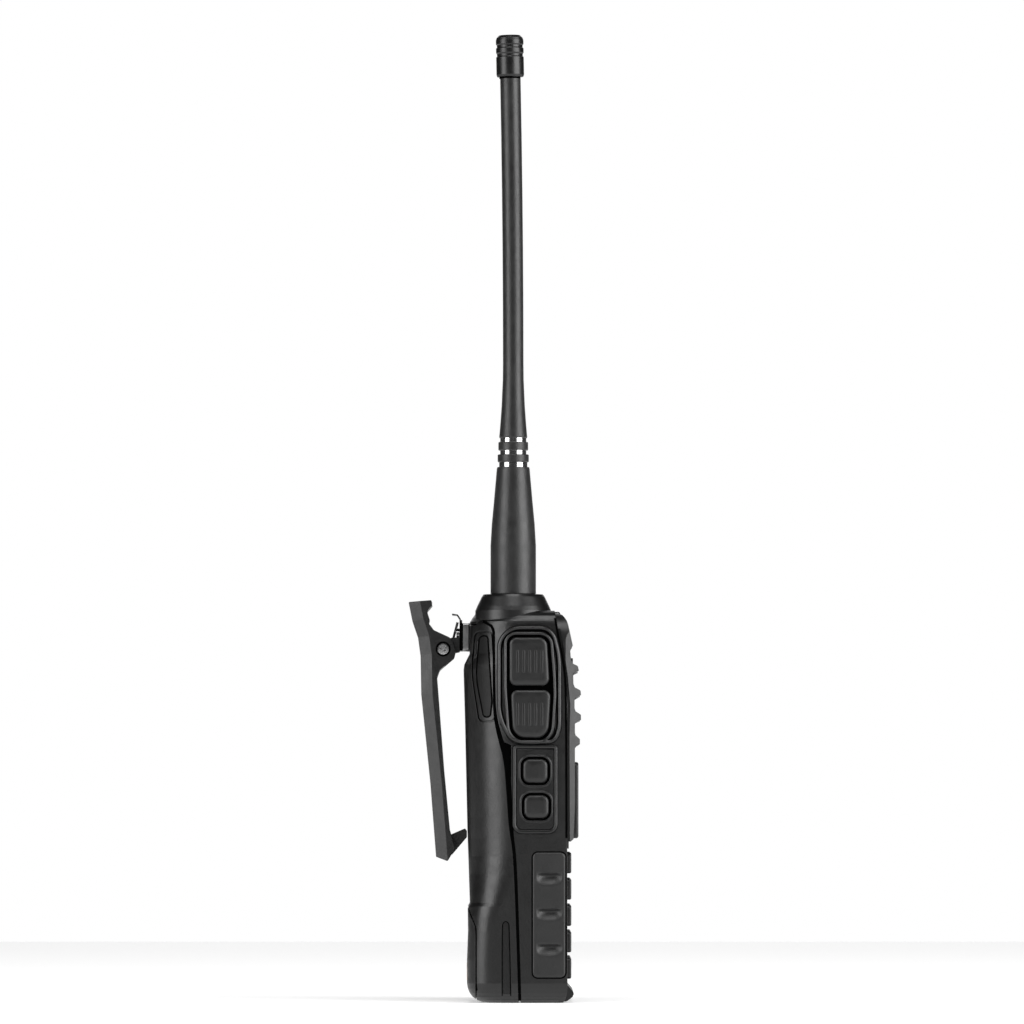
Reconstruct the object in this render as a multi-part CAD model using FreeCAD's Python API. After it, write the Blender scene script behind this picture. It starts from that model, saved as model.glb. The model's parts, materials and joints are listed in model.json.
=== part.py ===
"""Handheld two-way radio with a whip antenna, a clip-on battery pack and a sprung belt clip.

Millimetres. +Z is up, the front (speaker, display, keypad) faces -Y, the battery and belt clip are at +Y,
and the push-to-talk keys are on the -X side. The origin is the centre of the flat foot.
Each named piece is written to parts/NAME.step.
"""
import FreeCAD, Part
import math
import os

V = FreeCAD.Vector
ALONG_X = V(1, 0, 0)
ALONG_Y = V(0, 1, 0)
ALONG_Z = V(0, 0, 1)

# Body outline: distances from the origin at each height
HALF_WIDTH = 27.7
BODY_TOP = 110.0
WALL = 2.5
TOP_WALL = 2.2
FOOT_POCKET = (-22.0, -10.5, 2.2, 22.0, -1.5, 6.2)
CAVITY_R = 4.0
FIT = 0.1
FRONT_LINE = [(0, -13.0), (45.2, -12.9), (74, -12.8), (83.8, -13.0), (91.8, -12.3), (100.5, -11.0),
              (110, -9.4)]
BACK_LINE = [(0, 15.2), (12, 15.2), (20, 14.9), (27, 15.0), (28, 14.4), (39.8, 14.8), (48.3, 15.1),
             (79.5, 15.8), (93.5, 16.2), (95, 16.0), (98, 14.5), (107, 14.5), (110, 12.4)]
SHOULDER_R = 5.0
FOOT_R = 5.5
FRONT_FOOT_R = 1.5
BACK_CORNER_LINE = [(0, 7.5), (20, 7.5), (24, 8.2), (30, 10.4), (36, 12.7), (41, 13.8), (46, 14.3),
                    (52, 14.5), (110, 14.5)]
SIDE_R = 160.0
SIDE_Y = 0.0
BEYOND = 40.0
EDGE_TOLERANCE = 0.01
ARC_STEPS = 6

# Joint line between the battery pack and the body, seen from the side, and the gap along it
SEAM = [(13.6, 107.0), (10.7, 107.0), (8.3, 105.7), (7.6, 103.9), (7.6, 83.0), (6.8, 77.6), (5.4, 72.6),
        (4.0, 67.9), (3.4, 59.7), (2.8, 48.1), (1.9, 42.7), (1.3, 31.3), (0.4, 2.1), (0.4, -1.0)]
SEAM_RADII = [0, 2.0, 1.5, 2.0, 22.0, 15.0, 60.0, 15.0, 60.0, 20.0, 20.0, 40.0, 20.0, 0]
SEAM_GAP = 0.5
LAP = 0.8
LAP_HALF = 20.0
LAP_THICKNESS = 2.0
LAP_CLEARANCE = 0.3
SEAM_WEDGE = [(5.8, 73.4, 0.5), (2.75, 72.3, 0.3), (2.75, 49.0, 0), (3.2, 49.0, 0), (4.2, 66.0, 0)]
SEAM_WEDGE_DEPTH = 1.6
PACK_CAVITY_HALF = 20.6
PACK_WALL = 1.7
PACK_CAVITY = (4.5, 101.0)
PACK_CAVITY_R = 3.0
PACK_BACK_WALL_Y = 12.6
LID_THICKNESS = 1.4
CHASSIS = (0.7, 2.3)
CHASSIS_Z = (5.1, 103.0)
FOOT_LAP_Z = 0.5
TOP_LAP_Z = 108.5
CELL_TOP = 64.0
CELL_BACK_Y = 12.4
CELL_SPLIT = 0.4
CELL_FOOT = 2.0
CELL_GAP = 0.3
CELL_EDGE_R = 1.2
CELL_SIDE_GAP = 0.5
TONGUE_X = (10.0, 16.0)
TONGUE_Z = (5.8, 7.4)
TONGUE_REACH = 1.3
TONGUE_SLOT = (9.5, -5.0, 5.3, 16.5, 3.0, 12.3)

# Front panel: outer line from the top down, and the raised display block
PANEL_LINE = [(-10.2, 109.4), (-11.6, 108.8), (-12.2, 108.1), (-12.8, 107.2), (-13.2, 106.1), (-14.5, 100.2),
              (-14.0, 99.4), (-13.8, 98.5), (-13.9, 97.1), (-14.2, 95.6), (-14.7, 95.0), (-15.8, 94.5),
              (-16.0, 94.2), (-16.2, 93.1), (-15.2, 92.7), (-14.6, 92.1), (-14.7, 89.3), (-15.1, 88.4),
              (-16.3, 87.8), (-16.7, 87.5), (-16.8, 86.3), (-15.9, 85.8), (-15.0, 85.2), (-15.0, 82.6),
              (-15.3, 81.7), (-16.3, 81.1), (-16.8, 80.7), (-16.8, 79.3), (-15.6, 78.8), (-15.1, 78.1),
              (-15.1, 75.7), (-15.3, 75.0), (-16.0, 74.4), (-16.5, 73.9), (-16.5, 72.5), (-15.6, 72.0),
              (-15.1, 71.3), (-15.1, 55.0), (-14.7, 45.9), (-13.9, 45.2)]
PANEL_HALF = 26.8
PANEL_FACE_HALF = 25.2
PANEL_FACE_Y = -16.0
PANEL_SIDE_Y = -12.5
PANEL_GROOVE = 0.7
PANEL_GROOVE_X = 26.0
PANEL_CORNER_R = 8.0
PANEL_HEIGHTS = (45.2, 74.0, 83.8, 91.8, 100.5, 109.4)
LOWER_PANEL_HALF = 25.1
LOWER_PANEL = (5.1, 45.2)
LOWER_PANEL_BACK_Y = -11.2
PANEL_BRIDGE = (-20.0, -12.4, 40.0, 20.0, -11.2, 50.0)
PANEL_STEP = (-20.0, -13.4, 43.2, 20.0, -12.0, 49.2)
DISPLAY_BLOCK = (-23.5, 46.1, 23.5, 67.5)
DISPLAY_FRONT_Y = -16.1
DISPLAY_EDGE_R = 0.6
WINDOW = (-18.0, 49.6, 18.0, 64.6)
WINDOW_THICKNESS = 1.2
CHIN_LINE = [(-12.9, 5.0), (-13.3, 4.7), (-14.6, 3.2), (-14.8, 2.5), (-14.5, 1.8), (-14.0, 1.3), (-13.2, 0.7),
             (-12.6, 0.4), (-10.5, 0.4), (-10.5, 5.0)]
CHIN_HALF = 24.0

# Speaker and its grille with raised bars
GRILLE = (-17.0, 70.6, 17.0, 96.8)
GRILLE_R = 3.0
GRILLE_PLATE_Y = (-14.6, -13.2)
SLOT_HALF_LENGTH = 14.0
SLOT_HALF_HEIGHT = 1.5
SLOT_R = 1.4
BAR_HEIGHTS = [93.7, 86.9, 80.0, 73.2]
BAR_FRONT_Y = [-16.0, -16.6, -16.7, -16.4]
BAR_HALF_HEIGHT = 1.0
BAR_HALF_LENGTH = 15.5
BAR_END_R = 0.9
BAR_EDGE_R = 0.6
SPEAKER_CENTRE_Z = 82.0
SPEAKER_R = 14.5

# Keypad
KEY_TOP_Z = 39.2
KEY_PITCH = 7.39
KEY_HEIGHT = 5.85
KEY_GAP = 0.22
KEY_FRONT_Y = -14.1
KEY_STEM_BACK_Y = -10.9
KEY_FLANGE_BACK_Y = -10.3
KEY_FLANGE = 0.65
KEY_FIELD = 45.0
KEY_SPACING = 1.5
KEY_R = 1.1
KEY_EDGE_R = 0.45
ROW_NAMES = [["key_menu", "key_up", "key_down", "key_exit"], ["key_1", "key_2", "key_3"],
             ["key_4", "key_5", "key_6"], ["key_7", "key_8", "key_9"], ["key_star", "key_0", "key_hash"]]

# Side controls on the -X face: outlines as (y, z, corner radius)
PTT_BEZEL = [(6.8, 105.7, 6.5), (6.8, 80.0, 5.0), (2.8, 72.5, 3.5), (-9.9, 72.5, 3.5), (-11.4, 77.0, 4.0),
             (-11.4, 97.0, 6.0), (-9.2, 105.7, 5.0)]
PTT_A = [(3.5, 102.6, 1.7), (3.5, 88.8, 1.7), (-8.2, 88.8, 1.7), (-7.4, 102.6, 2.2)]
PTT_B = [(3.1, 87.8, 1.7), (2.4, 74.2, 3.4), (-7.8, 73.9, 3.4), (-8.6, 87.8, 1.7)]
SIDE_BEZEL = [(2.4, 72.3, 1.0), (2.4, 47.4, 2.6), (-10.3, 47.4, 2.6), (-10.3, 72.3, 1.0)]
SIDE_KEY_UPPER = [(-0.4, 68.4, 1.6), (-0.4, 61.5, 1.6), (-7.65, 61.5, 1.6), (-7.65, 68.4, 1.6)]
SIDE_KEY_LOWER = [(-0.7, 58.3, 1.6), (-0.7, 51.6, 1.6), (-7.9, 51.6, 1.6), (-7.9, 58.3, 1.6)]
BEZEL_FLOOR_X = 26.9
PTT_BEZEL_X = 29.0
SIDE_BEZEL_X = 28.5
PTT_FACE_X = 28.8
SIDE_KEY_FACE_X = 28.2
SIDE_KEY_CLEARANCE = 0.3
SIDE_FLANGE = (24.3, 24.9)
SWITCH_X = (19.4, 23.0)

# Side grips with scooped notches
GRIP = (-12.4, 7.2, -3.3, 42.1)
GRIP_R = 1.4
GRIP_FLOOR_X = 25.9
GRIP_PROUD = 0.25
NOTCH_HEIGHTS = [34.9, 24.9, 15.0]
NOTCH_Y = (-11.5, -4.4)
NOTCH_R = 1.9
NOTCH_CENTRE_X = 28.3

# Accessory jacks and their rubber cover on the +X face
JACK_Y = -0.98
JACKS = [(92.0, 1.8), (80.5, 1.3)]
JACK_R = 3.0
JACK_X = (14.0, 27.6)
COVER = (-7.5, 73.0, 4.8, 99.0)
COVER_X = (27.95, 29.0)
COVER_R = 2.0

# Top: antenna, collar, knob, torch
ANTENNA_X = -15.5
ANTENNA_Y = 2.2
COLLAR = [(10.7, 103.7), (10.7, 110.1), (10.2, 111.3), (8.9, 114.0), (8.4, 114.7)]
SOCKET_R = 4.2
SOCKET_BORE_R = 3.1
SOCKET_Z = (103.2, 114.6)
SLEEVE = [(6.4, 114.9), (6.4, 128.5), (6.05, 134.5), (5.5, 140.3), (4.65, 150.0), (4.5, 150.6)]
METAL = [(4.0, 150.6), (4.0, 151.9), (3.7, 152.1), (3.7, 158.8)]
RIDGES = [(152.0, 154.2, 4.4), (155.3, 157.7, 4.2)]
WHIP = [(3.85, 158.8), (3.95, 159.1), (3.7, 162.0), (3.25, 168.4), (2.95, 175.2), (2.9, 180.0)]
WHIP_END_Z = 260.9
WHIP_BEND_R = 4000.0
TIP = [(2.2, 260.9), (3.7, 260.9), (3.9, 261.5), (3.9, 266.4), (3.65, 266.7), (3.65, 267.3), (3.9, 267.7),
       (3.9, 268.9), (3.65, 269.2), (3.65, 269.8), (3.9, 270.1), (3.9, 271.2), (3.7, 271.9), (3.0, 272.6)]
POST_R = 3.03
POST_Z = (108.0, 128.0)
KNOB_X = 15.0
KNOB_Y = 2.0
KNOB_R = 7.0
KNOB_Z = (110.3, 114.6)
KNOB_RIBS = 18
FLUTE_OFFSET = 0.45
SHAFT_R = 1.5
POT_Z = (99.0, 107.9)
POT_BUSH_R = 3.4
RUNNING_CLEARANCE = 0.06
TORCH = (1.0, -9.8, 1.35)
TORCH_Z = (104.0, 110.2)
TORCH_EDGE_R = 0.6

# Boards and parts inside
BOARD_Y = (-5.6, -4.0)
BOARD = (-23.0, 6.5, 23.0, 97.0)
MAT_Y = (-9.4, -8.2)
SCREW_R = 1.1
SCREW_HEAD_R = 2.0
SCREW_SINK = 0.9
SCREW_PLACES = [(-21.5, 9.5), (21.5, 9.5), (-21.5, 60.0), (21.5, 60.0)]
CONTACT_XS = [-9.0, -3.0, 3.0, 9.0]
CONTACT_Z = (88.0, 94.0)
CONTACT_SLOT_HALF = 1.2
BLADE_HALF = 1.1
BLADE_GAP = 0.2
PAD_THICKNESS = 0.12
PAD_HALF = 1.3
PAD_HALF_HEIGHT = 2.0
CHARGE_PAD = (5.0, 15.2, 6.0, 9.0, 15.32, 11.0)

# Pack: charger guide slots, and the boundary line of the foot block
CHARGER_SLOT = [(5.3, -1.0, 0), (5.3, 22.6, 0.95), (3.3, 22.6, 0.95), (2.7, -1.0, 0)]
CHARGER_SLOT_DEPTH = 1.0
FOOT_GROOVE = [(12.6, -1.0), (12.6, 20.8), (13.1, 22.2), (15.6, 28.4)]
GROOVE_HALF = 0.18
GROOVE_DEPTH = 0.35

# Pack release latches
LATCH_LEAF = [(9.55, 102.7, 0.8), (11.5, 102.7, 1.0), (12.5, 91.5, 25.0), (10.4, 80.3, 0.9), (8.8, 80.3, 0.8),
              (8.35, 84.5, 8.0)]
LATCH_BACKING = (17.5, 10.5, 78.0, 21.0, 13.0, 101.5)
LATCH_PROUD = 0.1
LATCH_THICKNESS = 0.9
LATCH_POCKET_DEPTH = 2.2
LATCH_CLEARANCE = 0.3
LATCH_RIM = (1.2, 1.6)
LATCH_RIM_DEPTH = 0.3

# Belt clip and its bracket
PIVOT = (22.0, 99.5)
CLIP_HALF = 9.0
CHEEK_X = 6.8
PIN_R = 1.5
PIN_HEAD_R = 1.7
PIN_RECESS_R = 1.95
PIN_RECESS_X = 8.2
ARM = [(31.8, 112.8, 0.3), (25.3, 113.3, 0.3), (25.2, 111.8, 0.3), (26.6, 110.2, 0.7), (25.9, 107.9, 0.4),
       (26.1, 106.8, 0.3), (24.6, 104.8, 1.0), (19.8, 102.6, 2.0), (18.5, 99.0, 2.0), (19.0, 97.0, 1.0),
       (23.1, 93.5, 2.0), (23.8, 91.5, 1.0), (21.8, 65.1, 0), (20.2, 48.4, 0.5), (18.6, 43.2, 0.5),
       (20.75, 39.6, 0.3), (24.0, 40.8, 0.4),
       (25.6, 61.4, 0), (28.2, 86.7, 0), (28.4, 97.5, 0), (29.1, 102.6, 0), (30.7, 107.3, 0)]
HOOK = [(21.0, 46.6, 0), (15.9, 48.8, 0.3), (15.35, 48.1, 0.2), (15.35, 46.3, 0.3), (19.5, 41.4, 0),
        (21.0, 43.0, 0)]
HOOK_HALF = 6.0
ARM_SLOT = [(15.0, 94.8, 0), (26.2, 94.8, 0.8), (27.0, 103.6, 0.8), (24.4, 108.0, 0), (15.0, 108.0, 0)]
ARM_CHAMFER = 1.8
ARM_CHAMFER_DEPTH = 3.2
PLATE_Y = (14.5, 16.7)
BRACKET_Y = (16.7, 17.4)
BRACKET_Z = (99.0, 107.7)
BRACKET_HALF = 6.5
EAR = [(17.3, 102.8, 0.4), (19.3, 102.8, 0.8), (24.3, 101.4, 1.6), (24.3, 97.3, 1.6), (17.3, 98.8, 0.4)]
EAR_X = (5.2, 6.5)
LIP = [(17.4, 107.0), (17.4, 107.9), (18.2, 109.1), (19.5, 109.2)]
LIP_FOOT = (17.0, 107.0)
LIP_THICKNESS = 0.35
BRACKET_SCREW_X = 2.4
BRACKET_SCREW_HEAD_R = 1.8
BRACKET_SCREW_Z = 103.6
SPRING_WIRE_R = 0.35
SPRING_R = 2.1
SPRING_HALF = 4.6
SPRING_LEG = [(19.95, 99.9), (19.1, 102.8), (18.0, 107.3)]


def value_at(line, height):
    """Straight-line value at a height, from (height, value) points in rising order."""
    for (low_z, low), (high_z, high) in zip(line, line[1:]):
        if height <= high_z:
            return low + (high - low) * (height - low_z) / (high_z - low_z)
    return line[-1][1]


def side_plane(y, z):
    return V(0, y, z)


def front_plane(x, z):
    return V(x, 0, z)


def plan_plane(x, y):
    return V(x, y, 0)


def rounded_wire(corners, plane):
    """Closed wire through corners (u, v, r), with each corner rounded to its radius r."""
    points = [V(u, v, 0) for u, v, r in corners]
    stretches = []
    for i, point in enumerate(points):
        radius = corners[i][2]
        if radius == 0:
            stretches.append((point, None, point))
            continue
        back = (points[i - 1] - point).normalize()
        ahead = (points[(i + 1) % len(points)] - point).normalize()
        half = back.getAngle(ahead) / 2
        reach = radius / math.tan(half)
        inward = (back + ahead).normalize()
        middle = point + inward * (radius / math.sin(half) - radius)
        stretches.append((point + back * reach, middle, point + ahead * reach))
    edges = []
    for i, (start, middle, end) in enumerate(stretches):
        if middle is not None:
            edges.append(Part.Arc(plane(*start[:2]), plane(*middle[:2]), plane(*end[:2])).toShape())
        following = stretches[(i + 1) % len(stretches)][0]
        if (following - end).Length > 1e-6:
            edges.append(Part.makeLine(plane(*end[:2]), plane(*following[:2])))
    return Part.Wire(edges)


def slab(corners, plane, direction, low, high):
    """Solid of a rounded outline, from low to high along a direction."""
    face = Part.Face(rounded_wire(corners, plane))
    face.translate(direction * low)
    return face.extrude(direction * (high - low))


def side_slab(corners, low_x, high_x):
    return slab(corners, side_plane, ALONG_X, low_x, high_x)


def front_slab(corners, low_y, high_y):
    return slab(corners, front_plane, ALONG_Y, low_y, high_y)


def sharp(points):
    """Corners with no rounding."""
    return [(u, v, 0) for u, v in points]


def rectangle(box, radius):
    """Corners of an upright rectangle (low u, low v, high u, high v)."""
    low_u, low_v, high_u, high_v = box
    corners = [(low_u, low_v), (high_u, low_v), (high_u, high_v), (low_u, high_v)]
    return [(u, v, radius) for u, v in corners]


def grown(box, amount):
    low_u, low_v, high_u, high_v = box
    return (low_u - amount, low_v - amount, high_u + amount, high_v + amount)


def grown_outline(corners, amount):
    """An outline moved outwards everywhere by an amount, as a wire's offset."""
    centre_u = sum(c[0] for c in corners) / len(corners)
    centre_v = sum(c[1] for c in corners) / len(corners)
    return [(u + math.copysign(amount, u - centre_u), v + math.copysign(amount, v - centre_v), r + amount / 2)
            for u, v, r in corners]


def brick(low_x, low_y, low_z, high_x, high_y, high_z):
    """Block between two opposite corners."""
    return Part.makeBox(high_x - low_x, high_y - low_y, high_z - low_z, V(low_x, low_y, low_z))


def cylinder(radius, start, direction, length):
    return Part.makeCylinder(radius, length, start, direction)


def turned(profile, x, y):
    """Solid of revolution about a vertical axis, from (radius, height) points up its outside."""
    outline = [V(0, 0, profile[0][1])] + [V(r, 0, z) for r, z in profile] + [V(0, 0, profile[-1][1])]
    face = Part.Face(Part.makePolygon(outline + outline[:1]))
    solid = face.revolve(V(0, 0, 0), ALONG_Z, 360)
    solid.translate(V(x, y, 0))
    return solid


def edges_on_plane(shape, axis, position):
    """Edges that lie wholly in the plane where the given coordinate has the given value."""
    found = []
    for edge in shape.Edges:
        box = edge.BoundBox
        low = (box.XMin, box.YMin, box.ZMin)[axis]
        high = (box.XMax, box.YMax, box.ZMax)[axis]
        if abs(low - position) < 1e-4 and abs(high - position) < 1e-4:
            found.append(edge)
    return found


def fused(shapes):
    return shapes[0].multiFuse(shapes[1:]).removeSplitter()


def group(solids):
    """Separate solids kept together in one node."""
    return Part.makeCompound(solids)


def edge_rounding(height):
    """How far the sides pull in near the foot and the shoulder, at a height."""
    pull = 0.0
    if height < FOOT_R:
        pull = FOOT_R - math.sqrt(FOOT_R ** 2 - (FOOT_R - height) ** 2)
    shoulder_start = BODY_TOP - SHOULDER_R
    if height > shoulder_start:
        pull = SHOULDER_R - math.sqrt(max(SHOULDER_R ** 2 - (height - shoulder_start) ** 2, 0))
    return pull


def plan_section(height, grow):
    """Outline of body and pack together, cut across at a height: crowned sides and large back corners."""
    pull = edge_rounding(height)
    half = HALF_WIDTH + grow - pull
    front = value_at(FRONT_LINE, height) - grow
    back = value_at(BACK_LINE, height) + grow
    if height < FOOT_R:
        front += pull * FRONT_FOOT_R / FOOT_R
        back -= pull
    corner_r = value_at(BACK_CORNER_LINE, height)
    side_centre = V(half - SIDE_R, SIDE_Y, height)
    rise = back - corner_r - SIDE_Y
    corner_centre = side_centre + V(math.sqrt((SIDE_R - corner_r) ** 2 - rise ** 2), rise, 0)
    towards = (corner_centre - side_centre).normalize()
    meeting = corner_centre + towards * corner_r
    corner_middle = corner_centre + (towards + ALONG_Y).normalize() * corner_r
    corner_end = corner_centre + ALONG_Y * corner_r
    drop = SIDE_Y - front
    front_corner = V(side_centre.x + math.sqrt(SIDE_R ** 2 - drop ** 2), front, height)
    halfway = (front_corner - side_centre).normalize() + towards
    side_middle = side_centre + halfway.normalize() * SIDE_R
    right = [front_corner, side_middle, meeting, corner_middle, corner_end]
    left = [V(-p.x, p.y, p.z) for p in reversed(right)]
    return Part.Wire([
        Part.makeLine(left[4], right[0]),
        Part.Arc(*right[0:3]).toShape(),
        Part.Arc(*right[2:5]).toShape(),
        Part.makeLine(right[4], left[0]),
        Part.Arc(*left[0:3]).toShape(),
        Part.Arc(*left[2:5]).toShape(),
    ])


def envelope(grow=0.0):
    """The body and the pack as one solid, before the joint line divides them, optionally a little larger."""
    heights = {z for z, size in FRONT_LINE + BACK_LINE + BACK_CORNER_LINE}
    for step in range(1, ARC_STEPS + 1):
        turn = math.pi / 2 * step / ARC_STEPS
        heights.add(round(FOOT_R * (1 - math.cos(turn)), 4))
        heights.add(round(BODY_TOP - SHOULDER_R + SHOULDER_R * math.sin(turn), 4))
    return Part.makeLoft([plan_section(z, grow) for z in sorted(heights)], True, True)


def pack_space(shift):
    """Everything behind the joint line, moved back and down by a shift."""
    line = [(y, z, radius) for (y, z), radius in zip(SEAM, SEAM_RADII)]
    behind = [(BEYOND, SEAM[-1][1], 0), (BEYOND, SEAM[0][1], 0)]
    space = side_slab(line + behind, -BEYOND, BEYOND)
    space.translate(V(0, shift, -shift))
    return space


def seam_strip(near, far, low_z, high_z, half_width):
    """A plate that follows the joint line, from near to far behind it."""
    line = [point for point in SEAM if low_z < point[1] < high_z]
    ends = [(seam_y(high_z), high_z)] + line + [(seam_y(low_z), low_z)]
    outline = [(y + near, z) for y, z in ends] + [(y + far, z) for y, z in reversed(ends)]
    return side_slab(sharp(outline), -half_width, half_width)


def lap(low_z, high_z):
    """Middle part of the joint, set back so that nothing can be seen or can fall through the gap."""
    band = Part.makeBox(2 * LAP_HALF, 2 * BEYOND, high_z - low_z, V(-LAP_HALF, -BEYOND, low_z))
    band = band.common(pack_space(LAP - SEAM_GAP / 2 - LAP_THICKNESS))
    return band.cut(pack_space(LAP - SEAM_GAP / 2)).common(envelope(-FIT))


def seam_y(height):
    """Position of the joint line at a height."""
    return value_at([(z, y) for y, z in reversed(SEAM)], height)


def both_sides(solid):
    """A solid and its mirror image across the middle plane."""
    return [solid, solid.mirror(V(0, 0, 0), ALONG_X)]


def grip_scoops():
    """The three finger notches on the -X side, as round-ended troughs."""
    scoops = []
    for height in NOTCH_HEIGHTS:
        low_y, high_y = NOTCH_Y
        length = high_y - low_y - 2 * NOTCH_R
        start = V(-NOTCH_CENTRE_X, low_y + NOTCH_R, height)
        trough = cylinder(NOTCH_R, start, ALONG_Y, length)
        ends = [Part.makeSphere(NOTCH_R, start), Part.makeSphere(NOTCH_R, start + ALONG_Y * length)]
        scoops.append(fused([trough] + ends))
    return scoops


def side_grips():
    """Soft grip pads, one let into each side wall."""
    pad = side_slab(rectangle(GRIP, GRIP_R), -BEYOND, -GRIP_FLOOR_X).common(envelope(GRIP_PROUD))
    for scoop in grip_scoops():
        pad = pad.cut(scoop)
    return group(both_sides(pad))


def bezel_plates():
    """The two raised bezels on the push-to-talk side, before their key openings are cut."""
    ptt = side_slab(PTT_BEZEL, -PTT_BEZEL_X, -BEZEL_FLOOR_X)
    side = side_slab(SIDE_BEZEL, -SIDE_BEZEL_X, -BEZEL_FLOOR_X)
    return ptt, side


def key_openings(outlines):
    """Clearance holes for side keys, through the bezel and the wall."""
    depths = (-BEYOND, -HALF_WIDTH + 3 * WALL)
    return [side_slab(grown_outline(corners, SIDE_KEY_CLEARANCE), *depths) for corners in outlines]


def housing():
    """Main housing: side walls, top and foot of the body, open at the front and at the back."""
    body = envelope().cut(pack_space(-SEAM_GAP / 2))
    cavity = (-HALF_WIDTH + WALL, LOWER_PANEL[0] - FIT, HALF_WIDTH - WALL, BODY_TOP - TOP_WALL)
    body = body.cut(front_slab(rectangle(cavity, CAVITY_R), -BEYOND, BEYOND))
    body = body.cut(brick(*FOOT_POCKET))
    chin = side_slab(sharp(CHIN_LINE), -CHIN_HALF, CHIN_HALF)
    foot_lap = lap(FOOT_LAP_Z, LOWER_PANEL[0] - FIT)
    top_lap = lap(CHASSIS_Z[1] + FIT, TOP_LAP_Z)
    body = fused([body, chin, foot_lap, top_lap])
    ptt, side = bezel_plates()
    cutters = [ptt, side] + key_openings([PTT_A, PTT_B, SIDE_KEY_UPPER, SIDE_KEY_LOWER])
    cutters += both_sides(side_slab(rectangle(GRIP, GRIP_R), -BEYOND, -GRIP_FLOOR_X))
    cutters.append(cylinder(SOCKET_R, V(ANTENNA_X, ANTENNA_Y, 100), ALONG_Z, BEYOND))
    cutters.append(cylinder(POT_BUSH_R, V(KNOB_X, KNOB_Y, 100), ALONG_Z, BEYOND))
    cutters.append(cylinder(TORCH[2], V(TORCH[0], TORCH[1], 100), ALONG_Z, BEYOND))
    cutters += [cylinder(JACK_R, V(20, JACK_Y, z), ALONG_X, BEYOND) for z, bore_r in JACKS]
    cutters.append(side_slab(SEAM_WEDGE, -BEYOND, -HALF_WIDTH + SEAM_WEDGE_DEPTH))
    return body.cut(cutters).removeSplitter()


def panel_cap():
    """Upper part of the front panel, over the speaker and the display."""
    inner = [(value_at(FRONT_LINE, z), z) for z in PANEL_HEIGHTS]
    cap = side_slab(sharp(PANEL_LINE + inner), -PANEL_HALF, PANEL_HALF)
    foot, top = PANEL_LINE[-1][1], PANEL_LINE[0][1]
    outline = [(-PANEL_HALF, foot, 0), (PANEL_HALF, foot, 0), (PANEL_HALF, top, PANEL_CORNER_R),
               (-PANEL_HALF, top, PANEL_CORNER_R)]
    narrowing = (PANEL_HALF - PANEL_FACE_HALF) / (PANEL_SIDE_Y - PANEL_FACE_Y)
    tip_y = PANEL_SIDE_Y - PANEL_HALF / narrowing
    plan = [(-PANEL_HALF, 0, 0), (-PANEL_HALF, PANEL_SIDE_Y, 0), (0, tip_y, 0), (PANEL_HALF, PANEL_SIDE_Y, 0),
            (PANEL_HALF, 0, 0)]
    cap = cap.common(front_slab(outline, -BEYOND, BEYOND)).common(slab(plan, plan_plane, ALONG_Z, foot, top))
    behind = [(value_at(FRONT_LINE, z) + 1.0, z) for z in PANEL_HEIGHTS]
    ahead = [(value_at(FRONT_LINE, z) - PANEL_GROOVE, z) for z in reversed(PANEL_HEIGHTS)]
    return cap.cut(both_sides(side_slab(sharp(behind + ahead), PANEL_GROOVE_X, BEYOND)))


def key_places():
    """Name, centre (x, z) and width of every front key."""
    for row, names in enumerate(ROW_NAMES):
        count = len(names)
        width = (KEY_FIELD - KEY_SPACING * (count - 1)) / count
        for column, name in enumerate(names):
            x = -KEY_FIELD / 2 + width / 2 + column * (width + KEY_SPACING)
            yield name, x, KEY_TOP_Z - row * KEY_PITCH, width


def key_box(x, z, width, extra):
    """Rectangle of a key's face, grown by extra on every side."""
    return grown((x - width / 2, z - KEY_HEIGHT / 2, x + width / 2, z + KEY_HEIGHT / 2), extra)


def front_panel():
    """Front panel with the display block, the speaker opening and the keypad field."""
    cap = panel_cap()
    block = front_slab(rectangle(DISPLAY_BLOCK, 1.5), DISPLAY_FRONT_Y, -14.0)
    block = block.makeFillet(DISPLAY_EDGE_R, edges_on_plane(block, 1, DISPLAY_FRONT_Y))
    lower_box = (-LOWER_PANEL_HALF, LOWER_PANEL[0], LOWER_PANEL_HALF, LOWER_PANEL[1])
    lower = front_slab(rectangle(lower_box, CAVITY_R - 0.1), value_at(FRONT_LINE, 25.0), LOWER_PANEL_BACK_Y)
    joined = fused([cap, block, lower, brick(*PANEL_BRIDGE), brick(*PANEL_STEP)])
    window_floor = DISPLAY_FRONT_Y + WINDOW_THICKNESS
    cutters = [front_slab(rectangle(grown(WINDOW, 1.0), 1.2), -BEYOND, window_floor)]
    cutters.append(front_slab(rectangle(WINDOW, 0.6), -BEYOND, 0))
    cutters.append(front_slab(rectangle(GRILLE, GRILLE_R), -BEYOND, 0))
    cutters.append(cylinder(TORCH[2], V(TORCH[0], TORCH[1], CHASSIS_Z[1]), ALONG_Z, BEYOND))
    for name, x, z, width in key_places():
        cutters.append(front_slab(rectangle(key_box(x, z, width, KEY_GAP), KEY_R + KEY_GAP), -BEYOND, 0))
    return joined.cut(cutters).removeSplitter()


def front_key(x, z, width):
    """One keypad key: a stem through the panel with a flange behind it."""
    stem = front_slab(rectangle(key_box(x, z, width, 0), KEY_R), KEY_FRONT_Y, KEY_STEM_BACK_Y)
    stem = stem.makeFillet(KEY_EDGE_R, edges_on_plane(stem, 1, KEY_FRONT_Y))
    outline = rectangle(key_box(x, z, width, KEY_FLANGE), KEY_R)
    flange = front_slab(outline, KEY_STEM_BACK_Y, KEY_FLANGE_BACK_Y)
    return fused([stem, flange])


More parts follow.
